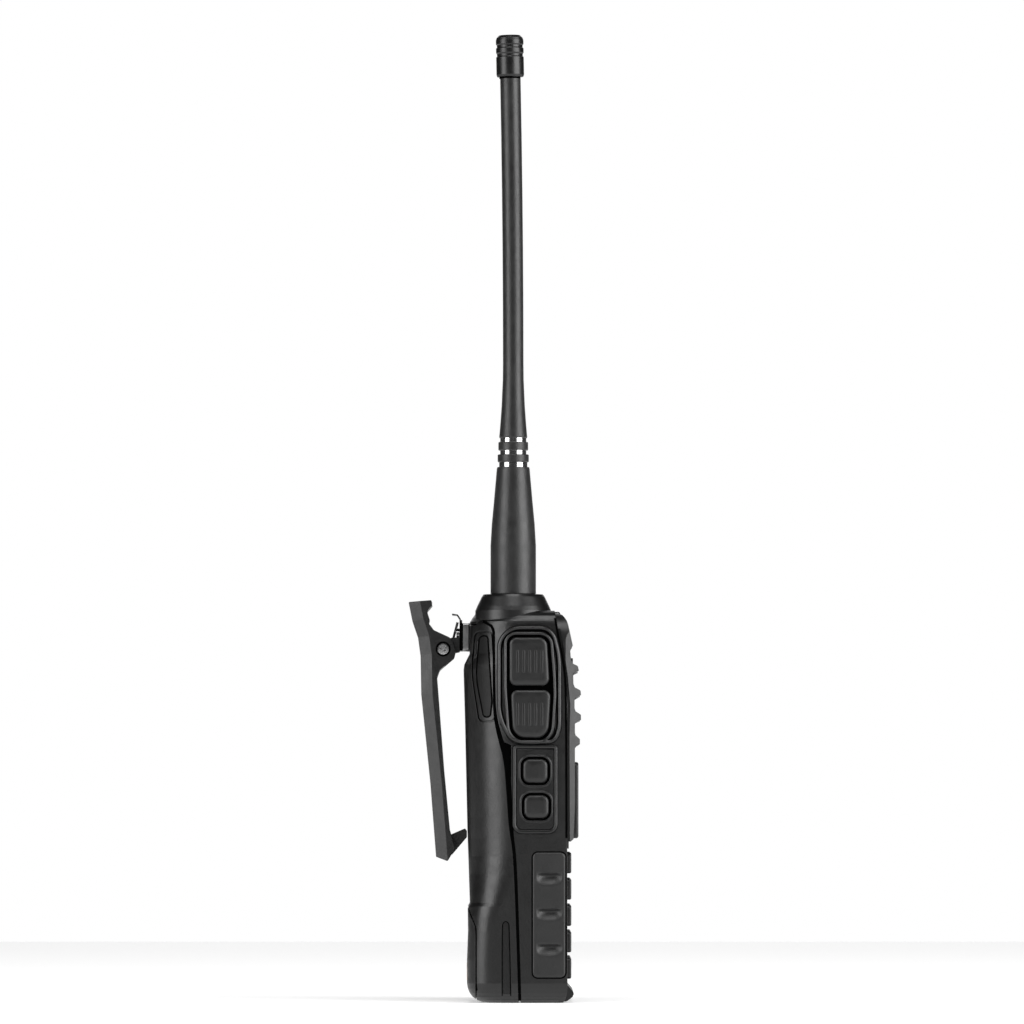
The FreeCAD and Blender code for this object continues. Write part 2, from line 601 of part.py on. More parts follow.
def speaker_grille():
    """Slotted grille plate with four raised bars."""
    plate = front_slab(rectangle(GRILLE, GRILLE_R), *GRILLE_PLATE_Y)
    for low, high in zip(BAR_HEIGHTS[1:], BAR_HEIGHTS):
        middle = (low + high) / 2
        slot = (-SLOT_HALF_LENGTH, middle - SLOT_HALF_HEIGHT, SLOT_HALF_LENGTH, middle + SLOT_HALF_HEIGHT)
        plate = plate.cut(front_slab(rectangle(slot, SLOT_R), -BEYOND, 0))
    bars = []
    for height, front in zip(BAR_HEIGHTS, BAR_FRONT_Y):
        box = (-BAR_HALF_LENGTH, height - BAR_HALF_HEIGHT, BAR_HALF_LENGTH, height + BAR_HALF_HEIGHT)
        bar = front_slab(rectangle(box, BAR_END_R), front, GRILLE_PLATE_Y[0])
        bars.append(bar.makeFillet(BAR_EDGE_R, edges_on_plane(bar, 1, front)))
    return fused([plate] + bars)


def speaker():
    """Round loudspeaker: basket, magnet and rim."""
    rim = cylinder(SPEAKER_R, V(0, -12.6, SPEAKER_CENTRE_Z), ALONG_Y, 2.0)
    magnet = cylinder(SPEAKER_R * 0.6, V(0, -10.6, SPEAKER_CENTRE_Z), ALONG_Y, 4.4)
    return rim.fuse(magnet)


def display_window():
    """Clear window let into the display block."""
    outline = rectangle(grown(WINDOW, 0.9), 1.1)
    return front_slab(outline, DISPLAY_FRONT_Y + FIT / 2, DISPLAY_FRONT_Y + WINDOW_THICKNESS)


def display_module():
    """Liquid-crystal module behind the window."""
    face = front_slab(rectangle(grown(WINDOW, -0.2), 0.5), DISPLAY_FRONT_Y + WINDOW_THICKNESS, -11.0)
    frame = front_slab(rectangle(grown(WINDOW, 1.5), 0.5), -11.0, -9.4)
    return face.fuse(frame)


def main_board():
    """Main circuit board: a plain panel with rounded corners."""
    return front_slab(rectangle(BOARD, 2.0), *BOARD_Y)


def keypad_mat():
    """Rubber mat under the keys, with a dome for each key."""
    mat = front_slab(rectangle((-23.6, 6.3, 23.6, 43.0), 1.5), *MAT_Y)
    domes = [cylinder(1.6, V(x, MAT_Y[1], z), ALONG_Y, 1.2) for name, x, z, width in key_places()]
    return fused([mat] + domes)


def chassis_plate():
    """Die-cast plate that closes the back of the body, behind the pack."""
    half = HALF_WIDTH - WALL - FIT
    low, high = CHASSIS_Z
    plate = seam_strip(-CHASSIS[1], -CHASSIS[0], low, high, half)
    plate = plate.common(front_slab(rectangle((-half, low, half, high), CAVITY_R - FIT), -BEYOND, BEYOND))
    plate = plate.fuse(lap(low, high))
    cutters = both_sides(brick(*TONGUE_SLOT))
    for x in CONTACT_XS:
        left, right = x - CONTACT_SLOT_HALF, x + CONTACT_SLOT_HALF
        cutters.append(brick(left, 0, CONTACT_Z[0], right, BEYOND, CONTACT_Z[1]))
    for x, z in SCREW_PLACES:
        cutters.append(cylinder(SCREW_R, V(x, -BEYOND, z), ALONG_Y, 2 * BEYOND))
        head_floor = seam_y(z) - CHASSIS[0] - SCREW_SINK
        cutters.append(cylinder(SCREW_HEAD_R, V(x, head_floor, z), ALONG_Y, BEYOND))
    return plate.cut(cutters)


def case_screws():
    """Four screws that hold the chassis plate and the board to the front panel's posts."""
    screws = []
    for x, z in SCREW_PLACES:
        plate_back = seam_y(z) - CHASSIS[0]
        head = cylinder(SCREW_HEAD_R, V(x, plate_back - SCREW_SINK, z), ALONG_Y, SCREW_SINK - FIT)
        shank = cylinder(SCREW_R, V(x, BOARD_Y[1], z), ALONG_Y, plate_back - 0.5 - BOARD_Y[1])
        screws.append(head.fuse(shank))
    return group(screws)


def battery_contacts():
    """Four contact blades that reach through the chassis plate to the pack."""
    blades = []
    for x in CONTACT_XS:
        low, high = CONTACT_Z[0] + BLADE_GAP, CONTACT_Z[1] - BLADE_GAP
        back = seam_y(high) + LAP
        blades.append(brick(x - BLADE_HALF, BOARD_Y[1], low, x + BLADE_HALF, back, high))
    return group(blades)


def antenna_collar():
    """Conical collar on the top, that the antenna's foot stands on."""
    cone = turned(COLLAR, ANTENNA_X, ANTENNA_Y).cut(envelope())
    hole = cylinder(SOCKET_R, V(ANTENNA_X, ANTENNA_Y, 100), ALONG_Z, BEYOND)
    return cone.cut(hole)


def antenna_socket():
    """Metal socket that the antenna screws into."""
    low, high = SOCKET_Z
    tube = cylinder(SOCKET_R, V(ANTENNA_X, ANTENNA_Y, low), ALONG_Z, high - low)
    bore = cylinder(SOCKET_BORE_R, V(ANTENNA_X, ANTENNA_Y, low + 3.0), ALONG_Z, high - low)
    return tube.cut(bore)


def antenna_sleeve():
    """Tapered rubber sleeve at the antenna's foot, bored for the metal post."""
    sleeve = turned(SLEEVE, ANTENNA_X, ANTENNA_Y)
    return sleeve.cut(cylinder(POST_R, V(ANTENNA_X, ANTENNA_Y, 100), ALONG_Z, POST_Z[1] - 100))


def antenna_ferrule():
    """Polished metal sleeve between the rubber parts."""
    return turned(METAL, ANTENNA_X, ANTENNA_Y)


def antenna_post():
    """Metal post with the thread that goes into the socket."""
    low, high = POST_Z
    return cylinder(POST_R, V(ANTENNA_X, ANTENNA_Y, low), ALONG_Z, high - low)


def antenna_ridges():
    """Two rubber rings on the metal sleeve."""
    rings = []
    for low, high, radius in RIDGES:
        outer = cylinder(radius, V(ANTENNA_X, ANTENNA_Y, low), ALONG_Z, high - low)
        outer = outer.makeFillet(0.3, outer.Edges[:1] + outer.Edges[2:])
        rings.append(outer.cut(turned(METAL, ANTENNA_X, ANTENNA_Y)))
    return group(rings)


def antenna_whip():
    """Tapered whip: straight at its foot, then very slightly bent towards the back."""
    straight = turned(WHIP, ANTENNA_X, ANTENNA_Y)
    bend_foot = V(ANTENNA_X, ANTENNA_Y, WHIP[-1][1])
    section = Part.Face(Part.Wire(Part.makeCircle(WHIP[-1][0], bend_foot, ALONG_Z)))
    bent = section.revolve(bend_foot + ALONG_Y * WHIP_BEND_R, ALONG_X, -whip_turn())
    return fused([straight, bent])


def whip_turn():
    """Angle in degrees that the whip's bend turns through."""
    return math.degrees((WHIP_END_Z - WHIP[-1][1]) / WHIP_BEND_R)


def antenna_tip():
    """Grooved cap on the whip's end, leaning with it."""
    drop = WHIP_END_Z - WHIP[-1][1]
    cap = turned([(radius, z - drop) for radius, z in TIP], ANTENNA_X, ANTENNA_Y)
    cap.rotate(V(ANTENNA_X, ANTENNA_Y + WHIP_BEND_R, WHIP[-1][1]), ALONG_X, -whip_turn())
    return cap


def volume_knob():
    """Ribbed knob with its stem, that switches the radio on and sets the volume."""
    low, high = KNOB_Z
    knob = cylinder(KNOB_R, V(KNOB_X, KNOB_Y, low), ALONG_Z, high - low)
    knob = knob.makeFillet(0.8, edges_on_plane(knob, 2, high))
    flutes = []
    for rib in range(KNOB_RIBS):
        turn = 2 * math.pi * rib / KNOB_RIBS
        centre = V(KNOB_X, KNOB_Y, low - 1) + V(math.cos(turn), math.sin(turn), 0) * (KNOB_R + FLUTE_OFFSET)
        flutes.append(cylinder(0.8, centre, ALONG_Z, high - low + 2))
    stem = cylinder(SHAFT_R, V(KNOB_X, KNOB_Y, POT_Z[0] + 2), ALONG_Z, low - POT_Z[0] - 2)
    return knob.cut(flutes).fuse(stem)


def volume_pot():
    """Volume control body and its bush, bored for the knob's stem."""
    low, high = POT_Z
    case = Part.makeBox(11, 8.0, high - low - 2.3, V(KNOB_X - 5.5, KNOB_Y - 4.8, low))
    bush = cylinder(POT_BUSH_R, V(KNOB_X, KNOB_Y, CHASSIS_Z[1]), ALONG_Z, BODY_TOP - CHASSIS_Z[1])
    bore = cylinder(SHAFT_R + RUNNING_CLEARANCE, V(KNOB_X, KNOB_Y, low + 1.5), ALONG_Z, BEYOND)
    return case.fuse(bush).cut(bore)


def torch_lens():
    """Small clear dome over the torch, at the front of the top."""
    x, y, radius = TORCH
    low, high = TORCH_Z
    barrel = cylinder(radius, V(x, y, low), ALONG_Z, high - low)
    return barrel.makeFillet(TORCH_EDGE_R, edges_on_plane(barrel, 2, high))


def ptt_bezel():
    """Raised bezel around both push-to-talk keys, with a groove round it."""
    plate, side = bezel_plates()
    plate = plate.makeFillet(0.5, edges_on_plane(plate, 0, -PTT_BEZEL_X))
    groove_outer = side_slab(grown_outline(PTT_BEZEL, -1.1), -PTT_BEZEL_X - 1, -PTT_BEZEL_X + 0.5)
    groove_inner = side_slab(grown_outline(PTT_BEZEL, -1.7), -PTT_BEZEL_X - 1, -PTT_BEZEL_X + 0.5)
    return plate.cut([groove_outer.cut(groove_inner)] + key_openings([PTT_A, PTT_B]))


def side_key_bezel():
    """Lower bezel around the two small side keys."""
    ptt, plate = bezel_plates()
    plate = plate.makeFillet(0.4, edges_on_plane(plate, 0, -SIDE_BEZEL_X))
    return plate.cut(key_openings([SIDE_KEY_UPPER, SIDE_KEY_LOWER]))


def side_key(corners, face_x):
    """A key that slides through the side wall, with a flange inside."""
    stem = side_slab(corners, -face_x, -SIDE_FLANGE[1])
    stem = stem.makeFillet(0.5, edges_on_plane(stem, 0, -face_x))
    flange = side_slab(grown_outline(corners, 0.45), -SIDE_FLANGE[1], -SIDE_FLANGE[0])
    return fused([stem, flange])


def side_switches():
    """Four small switches behind the side keys, on one strip each."""
    switches = []
    for corners in (PTT_A, PTT_B, SIDE_KEY_UPPER, SIDE_KEY_LOWER):
        y = sum(c[0] for c in corners) / len(corners)
        z = sum(c[1] for c in corners) / len(corners)
        low, high = SWITCH_X
        switches.append(Part.makeBox(high - low, 4.0, 4.0, V(-high, max(y - 2.0, BOARD_Y[1]), z - 2.0)))
    return group(switches)


def jack_sockets():
    """Two round jack sockets in the +X wall."""
    low, high = JACK_X
    sockets = []
    for z, bore_r in JACKS:
        barrel = cylinder(JACK_R, V(low, JACK_Y, z), ALONG_X, high - low)
        sockets.append(barrel.cut(cylinder(bore_r, V(low + 1.0, JACK_Y, z), ALONG_X, high - low)))
    return group(sockets)


def jack_cover():
    """Rubber cover over the jacks, rounded about its hinge line at the front edge."""
    low, high = COVER_X
    half = (high - low) / 2
    front, foot, back, top = COVER
    outline = [(front, foot, 0), (back, foot, COVER_R), (back, top, COVER_R), (front, top, 0)]
    flap = side_slab(outline, low, high)
    roll = cylinder(half, V(low + half, COVER[0], COVER[1]), ALONG_Z, COVER[3] - COVER[1])
    return fused([flap, roll])


def battery_shell():
    """Back shell of the pack, open towards the body."""
    shell = envelope().common(pack_space(SEAM_GAP / 2))
    cavity = (-PACK_CAVITY_HALF, PACK_CAVITY[0], PACK_CAVITY_HALF, PACK_CAVITY[1])
    hollow = front_slab(rectangle(cavity, PACK_CAVITY_R), -BEYOND, PACK_BACK_WALL_Y)
    shell = shell.cut(hollow.common(envelope(-PACK_WALL)))
    half = LAP_HALF + LAP_CLEARANCE
    set_back = Part.makeBox(2 * half, 2 * BEYOND, BODY_TOP, V(-half, -BEYOND, 0))
    shell = shell.cut(set_back.cut(pack_space(LAP + SEAM_GAP / 2)))
    shell = fused([shell] + both_sides(brick(*LATCH_BACKING)))
    cutters = both_sides(side_slab(CHARGER_SLOT, -BEYOND, -HALF_WIDTH + CHARGER_SLOT_DEPTH))
    inside = envelope(-LATCH_POCKET_DEPTH)
    cutters += both_sides(leaf_prism(LATCH_CLEARANCE).cut(inside))
    rim = leaf_prism(LATCH_RIM[1]).cut(leaf_prism(LATCH_RIM[0])).cut(envelope(-LATCH_RIM_DEPTH))
    cutters += both_sides(rim)
    cutters += bracket_screw_holes() + foot_grooves()
    return shell.cut(cutters).removeSplitter()


def foot_grooves():
    """Narrow grooves that mark off the foot block on both sides of the pack."""
    grooves = []
    for (y0, z0), (y1, z1) in zip(FOOT_GROOVE, FOOT_GROOVE[1:]):
        run = V(0, y1 - y0, z1 - z0)
        across = V(0, -run.z, run.y).normalize() * GROOVE_HALF
        start = V(0, y0, z0)
        corners = [start - across, start + across, start + run + across, start + run - across]
        face = Part.Face(Part.makePolygon(corners + corners[:1]))
        face.translate(ALONG_X * -BEYOND)
        grooves.append(face.extrude(ALONG_X * 2 * BEYOND))
        grooves.append(cylinder(GROOVE_HALF, start - ALONG_X * BEYOND, ALONG_X, 2 * BEYOND))
    core = envelope(-GROOVE_DEPTH)
    return [groove.cut(core) for groove in grooves]


def leaf_prism(grow):
    """Leaf outline carried through the -X side."""
    return side_slab(grown_outline(LATCH_LEAF, grow), -BEYOND, 0)


def release_latch():
    """Leaf-shaped latch on the -X side, that is squeezed inwards."""
    return leaf_prism(0).common(envelope(LATCH_PROUD)).cut(envelope(-LATCH_THICKNESS))


def battery_lid():
    """Front cover of the pack, with two tongues that hook into the chassis plate."""
    near = LAP + SEAM_GAP / 2
    half = PACK_CAVITY_HALF - FIT
    low, high = PACK_CAVITY[0] + FIT, PACK_CAVITY[1] - FIT
    lid = seam_strip(near, near + LID_THICKNESS, low, high, half)
    lid = lid.common(front_slab(rectangle((-half, low, half, high), PACK_CAVITY_R - FIT), -BEYOND, BEYOND))
    z = TONGUE_Z[0]
    tongue_start = V(TONGUE_X[0], seam_y(z) - TONGUE_REACH, z)
    tongue = Part.makeBox(TONGUE_X[1] - TONGUE_X[0], TONGUE_REACH + near + FIT, TONGUE_Z[1] - z, tongue_start)
    return fused([lid] + both_sides(tongue))


def battery_cells():
    """Two flat lithium cells side by side."""
    front = seam_y(CELL_TOP) + LAP + SEAM_GAP / 2 + LID_THICKNESS + CELL_GAP
    low, high = CELL_SPLIT, PACK_CAVITY_HALF - CELL_SIDE_GAP
    foot = PACK_CAVITY[0] + CELL_FOOT
    cell = Part.makeBox(high - low, CELL_BACK_Y - front, CELL_TOP - foot, V(low, front, foot))
    upright = [e for e in cell.Edges if e.BoundBox.DiagonalLength - e.BoundBox.ZLength < EDGE_TOLERANCE]
    cell = cell.makeFillet(CELL_EDGE_R, upright)
    return group(both_sides(cell.common(envelope(-PACK_WALL - FIT))))


def pack_contacts():
    """Contact pads on the pack, under the blades and at the charging foot."""
    pads = []
    for x in CONTACT_XS:
        middle = sum(CONTACT_Z) / 2
        back = seam_y(middle) + LAP + SEAM_GAP / 2
        low, high = middle - PAD_HALF_HEIGHT, middle + PAD_HALF_HEIGHT
        pads.append(brick(x - PAD_HALF, back - PAD_THICKNESS, low, x + PAD_HALF, back, high))
    return group(pads + both_sides(brick(*CHARGE_PAD)))


def bracket_screw_holes():
    """Bores for the two screws that hold the clip's bracket."""
    return both_sides(cylinder(SCREW_R, V(BRACKET_SCREW_X, 0, BRACKET_SCREW_Z), ALONG_Y, BEYOND))


def clip_plate():
    """Metal block that carries the clip's bracket on the pack."""
    plate = front_slab(rectangle((-8.0, BRACKET_Z[0], 8.0, BRACKET_Z[1] - 0.9), 0.6), *PLATE_Y)
    return plate.cut(bracket_screw_holes())


def clip_bracket():
    """Bent sheet bracket: back plate, two ears for the pin and a curled lip."""
    low, high = BRACKET_Z
    plate = front_slab(rectangle((-BRACKET_HALF, low, BRACKET_HALF, high), 0), *BRACKET_Y)
    ear = side_slab(EAR, -EAR_X[1], -EAR_X[0])
    outer = [(y, z) for y, z in LIP]
    inner = [(y - LIP_THICKNESS, z + LIP_THICKNESS / 2) for y, z in reversed(LIP[1:3])]
    tip = [(LIP[-1][0], LIP[-1][1] + LIP_THICKNESS)]
    lip = side_slab(sharp(outer + tip + inner + [LIP_FOOT]), -BRACKET_HALF, BRACKET_HALF)
    bracket = fused([plate, lip] + both_sides(ear))
    holes = bracket_screw_holes()
    holes.append(cylinder(PIN_R, V(-BEYOND, *PIVOT), ALONG_X, 2 * BEYOND))
    return bracket.cut(holes)


def bracket_screws():
    """Two screws that hold the clip's bracket to the pack."""
    screws = []
    for x in (-BRACKET_SCREW_X, BRACKET_SCREW_X):
        head = cylinder(BRACKET_SCREW_HEAD_R, V(x, BRACKET_Y[1], BRACKET_SCREW_Z), ALONG_Y, 0.9)
        shank_start = V(x, PACK_BACK_WALL_Y, BRACKET_SCREW_Z)
        shank = cylinder(SCREW_R, shank_start, ALONG_Y, BRACKET_Y[1] - PACK_BACK_WALL_Y)
        screws.append(head.fuse(shank))
    return group(screws)


def clip_pin():
    """Pivot pin with a flat head at each end."""
    shank = cylinder(PIN_R, V(-PIN_RECESS_X - 0.05, *PIVOT), ALONG_X, 2 * PIN_RECESS_X + 0.1)
    head = cylinder(PIN_HEAD_R, V(-PIN_RECESS_X - 0.6, *PIVOT), ALONG_X, 0.55)
    return fused([shank] + both_sides(head))


def clip_spring():
    """Torsion spring round the pin: closed turns and a leg along the bracket."""
    start = V(-SPRING_HALF, *PIVOT)
    turns = cylinder(SPRING_R + SPRING_WIRE_R, start, ALONG_X, 2 * SPRING_HALF)
    turns = turns.cut(cylinder(SPRING_R - SPRING_WIRE_R, start, ALONG_X, 2 * SPRING_HALF))
    legs = []
    for (y0, z0), (y1, z1) in zip(SPRING_LEG, SPRING_LEG[1:]):
        start = V(SPRING_HALF, y0, z0)
        run = V(SPRING_HALF, y1, z1) - start
        legs.append(cylinder(SPRING_WIRE_R, start, run, run.Length))
        legs.append(Part.makeSphere(SPRING_WIRE_R, start + run))
    return fused([turns] + legs)


def clip_arm():
    """Sprung clip arm: thumb tab, cheeks round the pivot, long blade and hooked end."""
    arm = side_slab(ARM, -CLIP_HALF, CLIP_HALF).fuse(side_slab(HOOK, -HOOK_HALF, HOOK_HALF))
    outer_line = ARM[-6:] + ARM[:1]
    for (y0, z0, r0), (y1, z1, r1) in zip(outer_line, outer_line[1:]):
        run = V(0, y1 - y0, z1 - z0)
        across = V(0, -run.z, run.y).normalize() * ARM_CHAMFER_DEPTH
        if across.y > 0:
            across = across * -1
        start = V(0, y0, z0) - run * 0.05
        far = run * 1.1
        for side in (-1, 1):
            edge = start + ALONG_X * side * CLIP_HALF
            corners = [edge + across, edge - across + ALONG_X * side * ARM_CHAMFER,
                       edge - across - ALONG_X * side * 2 * ARM_CHAMFER]
            wedge = Part.Face(Part.makePolygon(corners + corners[:1])).extrude(far)
            arm = arm.cut(wedge)
    arm = arm.cut(side_slab(ARM_SLOT, -CHEEK_X, CHEEK_X))
    bore = cylinder(PIN_R + RUNNING_CLEARANCE, V(-BEYOND, *PIVOT), ALONG_X, 2 * BEYOND)
    recess = cylinder(PIN_RECESS_R, V(-20, *PIVOT), ALONG_X, 20 - PIN_RECESS_X)
    return arm.cut([bore] + both_sides(recess))


def pieces():
    """Every piece, by node name."""
    made = {
        "housing": housing(),
        "front_panel": front_panel(),
        "speaker_grille": speaker_grille(),
        "speaker": speaker(),
        "display_window": display_window(),
        "display_module": display_module(),
        "main_board": main_board(),
        "keypad_mat": keypad_mat(),
        "chassis_plate": chassis_plate(),
        "case_screws": case_screws(),
        "battery_contacts": battery_contacts(),
        "antenna_collar": antenna_collar(),
        "antenna_socket": antenna_socket(),
        "volume_pot": volume_pot(),
        "torch_lens": torch_lens(),
        "ptt_bezel": ptt_bezel(),
        "side_key_bezel": side_key_bezel(),
        "side_switches": side_switches(),
        "side_grips": side_grips(),
        "jack_sockets": jack_sockets(),
        "jack_cover": jack_cover(),
        "ptt_a": side_key(PTT_A, PTT_FACE_X),
        "ptt_b": side_key(PTT_B, PTT_FACE_X),
        "side_key_upper": side_key(SIDE_KEY_UPPER, SIDE_KEY_FACE_X),
        "side_key_lower": side_key(SIDE_KEY_LOWER, SIDE_KEY_FACE_X),
        "volume_knob": volume_knob(),
        "antenna_sleeve": antenna_sleeve(),
        "antenna_ferrule": antenna_ferrule(),
        "antenna_post": antenna_post(),
        "antenna_ridges": antenna_ridges(),
        "antenna_whip": antenna_whip(),
        "antenna_tip": antenna_tip(),
        "battery_shell": battery_shell(),
        "battery_lid": battery_lid(),
        "battery_cells": battery_cells(),
        "pack_contacts": pack_contacts(),
        "clip_plate": clip_plate(),
        "clip_bracket": clip_bracket(),
        "bracket_screws": bracket_screws(),
        "clip_pin": clip_pin(),
        "clip_spring": clip_spring(),
        "clip_arm": clip_arm(),
    }
    made["latch_left"], made["latch_right"] = both_sides(release_latch())
    for name, x, z, width in key_places():
        made[name] = front_key(x, z, width)
    return made


os.makedirs("parts", exist_ok=True)
for node, shape in pieces().items():
    shape.exportStep(os.path.join("parts", node + ".step"))
    print(f"{node:16s} solids {len(shape.Solids)} valid {shape.isValid()} volume {shape.Volume:9.1f}")
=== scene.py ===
"""Looks of a handheld two-way radio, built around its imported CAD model.

Blender works in metres, and the helpers here take millimetres. +Y is the clip side and -X the talk key side.
"""

import json
import math

import bmesh
import bpy
from mathutils import Matrix, Vector


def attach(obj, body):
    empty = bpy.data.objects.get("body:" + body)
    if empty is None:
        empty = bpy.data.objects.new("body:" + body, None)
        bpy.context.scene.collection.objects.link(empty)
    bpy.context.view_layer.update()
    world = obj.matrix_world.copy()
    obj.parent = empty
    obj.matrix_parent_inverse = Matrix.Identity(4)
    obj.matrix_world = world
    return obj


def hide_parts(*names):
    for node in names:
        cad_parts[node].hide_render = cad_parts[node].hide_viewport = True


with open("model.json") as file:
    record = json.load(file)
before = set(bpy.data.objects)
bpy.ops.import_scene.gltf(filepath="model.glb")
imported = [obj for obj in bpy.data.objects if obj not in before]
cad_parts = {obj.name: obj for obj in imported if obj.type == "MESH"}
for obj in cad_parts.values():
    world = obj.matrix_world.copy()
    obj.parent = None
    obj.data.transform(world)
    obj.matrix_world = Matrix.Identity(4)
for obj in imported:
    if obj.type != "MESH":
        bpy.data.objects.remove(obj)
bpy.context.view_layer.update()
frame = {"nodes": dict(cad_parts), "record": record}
nodes = frame["nodes"]
MM = 0.001


# ---------------------------------------------------------------- materials

def grey(level):
    """Linear grey for an 8-bit screen grey."""
    s = level / 255
    return s / 12.92 if s <= 0.04045 else ((s + 0.055) / 1.055) ** 2.4


def tone(level, warmth=0.0):
    """Linear colour for a screen grey, with a small shift to warm or cool."""
    return (grey(level * (1 + warmth)), grey(level), grey(level * (1 - warmth)), 1)


def add(tree, kind, place, **inputs):
    """New shader node with some of its input sockets set."""
    made = tree.nodes.new(kind)
    made.location = place
    for name, value in inputs.items():
        made.inputs[name.replace("_", " ")].default_value = value
    return made


def noise(tree, place, scale, detail=2.0, stretch=(1, 1, 1)):
    """Noise in the piece's own coordinates, stretched along its axes if asked."""
    where = add(tree, "ShaderNodeTexCoord", (place[0] - 400, place[1]))
    mapping = add(tree, "ShaderNodeMapping", (place[0] - 200, place[1]), Scale=stretch)
    tree.links.new(where.outputs["Object"], mapping.inputs["Vector"])
    made = add(tree, "ShaderNodeTexNoise", place, Scale=scale, Detail=detail, Roughness=0.6)
    tree.links.new(mapping.outputs["Vector"], made.inputs["Vector"])
    return made.outputs["Fac"]


def spread(tree, place, source, low, high, start=0.3, end=0.7):
    """Maps a noise onto a range of values."""
    made = add(tree, "ShaderNodeMapRange", place)
    for name, value in (("From Min", start), ("From Max", end), ("To Min", low), ("To Max", high)):
        made.inputs[name].default_value = value
    tree.links.new(source, made.inputs["Value"])
    return made.outputs["Result"]


def blend_tones(tree, place, source, first, second, start=0.35, end=0.65):
    """Colour that runs between two tones with a noise."""
    ramp = add(tree, "ShaderNodeValToRGB", place)
    ramp.color_ramp.elements[0].position = start
    ramp.color_ramp.elements[0].color = first
    ramp.color_ramp.elements[1].position = end
    ramp.color_ramp.elements[1].color = second
    tree.links.new(source, ramp.inputs["Fac"])
    return ramp.outputs["Color"]


MOTTLE_SCALE = 180
GLOSS_SCALE = 420
BEVEL_SAMPLES = 6


def surface(name, dark, light, rough, grain, depth, metal=0.0, edge=0.0, sheen=0.0, warmth=0.0,
            specular=0.5, stretch=(1, 1, 1), detail=2.0):
    """A material with mottled tone, fine grain, uneven gloss and softened edges.

    dark and light are screen greys, rough a pair of roughness values, grain the grain's size and depth its
    height in millimetres, and edge the radius that sharp edges are softened to in millimetres.
    """
    material = bpy.data.materials.new(name)
    material.use_nodes = True
    tree = material.node_tree
    shader = tree.nodes["Principled BSDF"]
    shader.inputs["Metallic"].default_value = metal
    shader.inputs["Specular IOR Level"].default_value = specular
    shader.inputs["Sheen Weight"].default_value = sheen
    shader.inputs["Sheen Roughness"].default_value = 0.5
    mottle = noise(tree, (-500, 300), MOTTLE_SCALE, 5.0)
    colour = blend_tones(tree, (-300, 300), mottle, tone(dark, warmth), tone(light, warmth))
    tree.links.new(colour, shader.inputs["Base Color"])
    gloss = spread(tree, (-300, 0), noise(tree, (-500, 0), GLOSS_SCALE, 6.0), *rough)
    tree.links.new(gloss, shader.inputs["Roughness"])
    fine = noise(tree, (-500, -300), 1000 / grain, detail, stretch)
    bump = add(tree, "ShaderNodeBump", (-200, -300), Strength=1.0, Distance=depth * MM)
    tree.links.new(fine, bump.inputs["Height"])
    if edge:
        soft = add(tree, "ShaderNodeBevel", (-400, -550), Radius=edge * MM)
        soft.samples = BEVEL_SAMPLES
        tree.links.new(soft.outputs["Normal"], bump.inputs["Normal"])
    tree.links.new(bump.outputs["Normal"], shader.inputs["Normal"])
    return material


ACRYLIC_IOR = 1.49


def see_through(name, tint, rough, grain, depth):
    """Clear moulded plastic with faint surface ripple and fine scratches."""
    material = surface(name, tint, tint + 10, (rough, rough + 0.05), grain, depth)
    shader = material.node_tree.nodes["Principled BSDF"]
    shader.inputs["Transmission Weight"].default_value = 1.0
    shader.inputs["IOR"].default_value = ACRYLIC_IOR
    return material


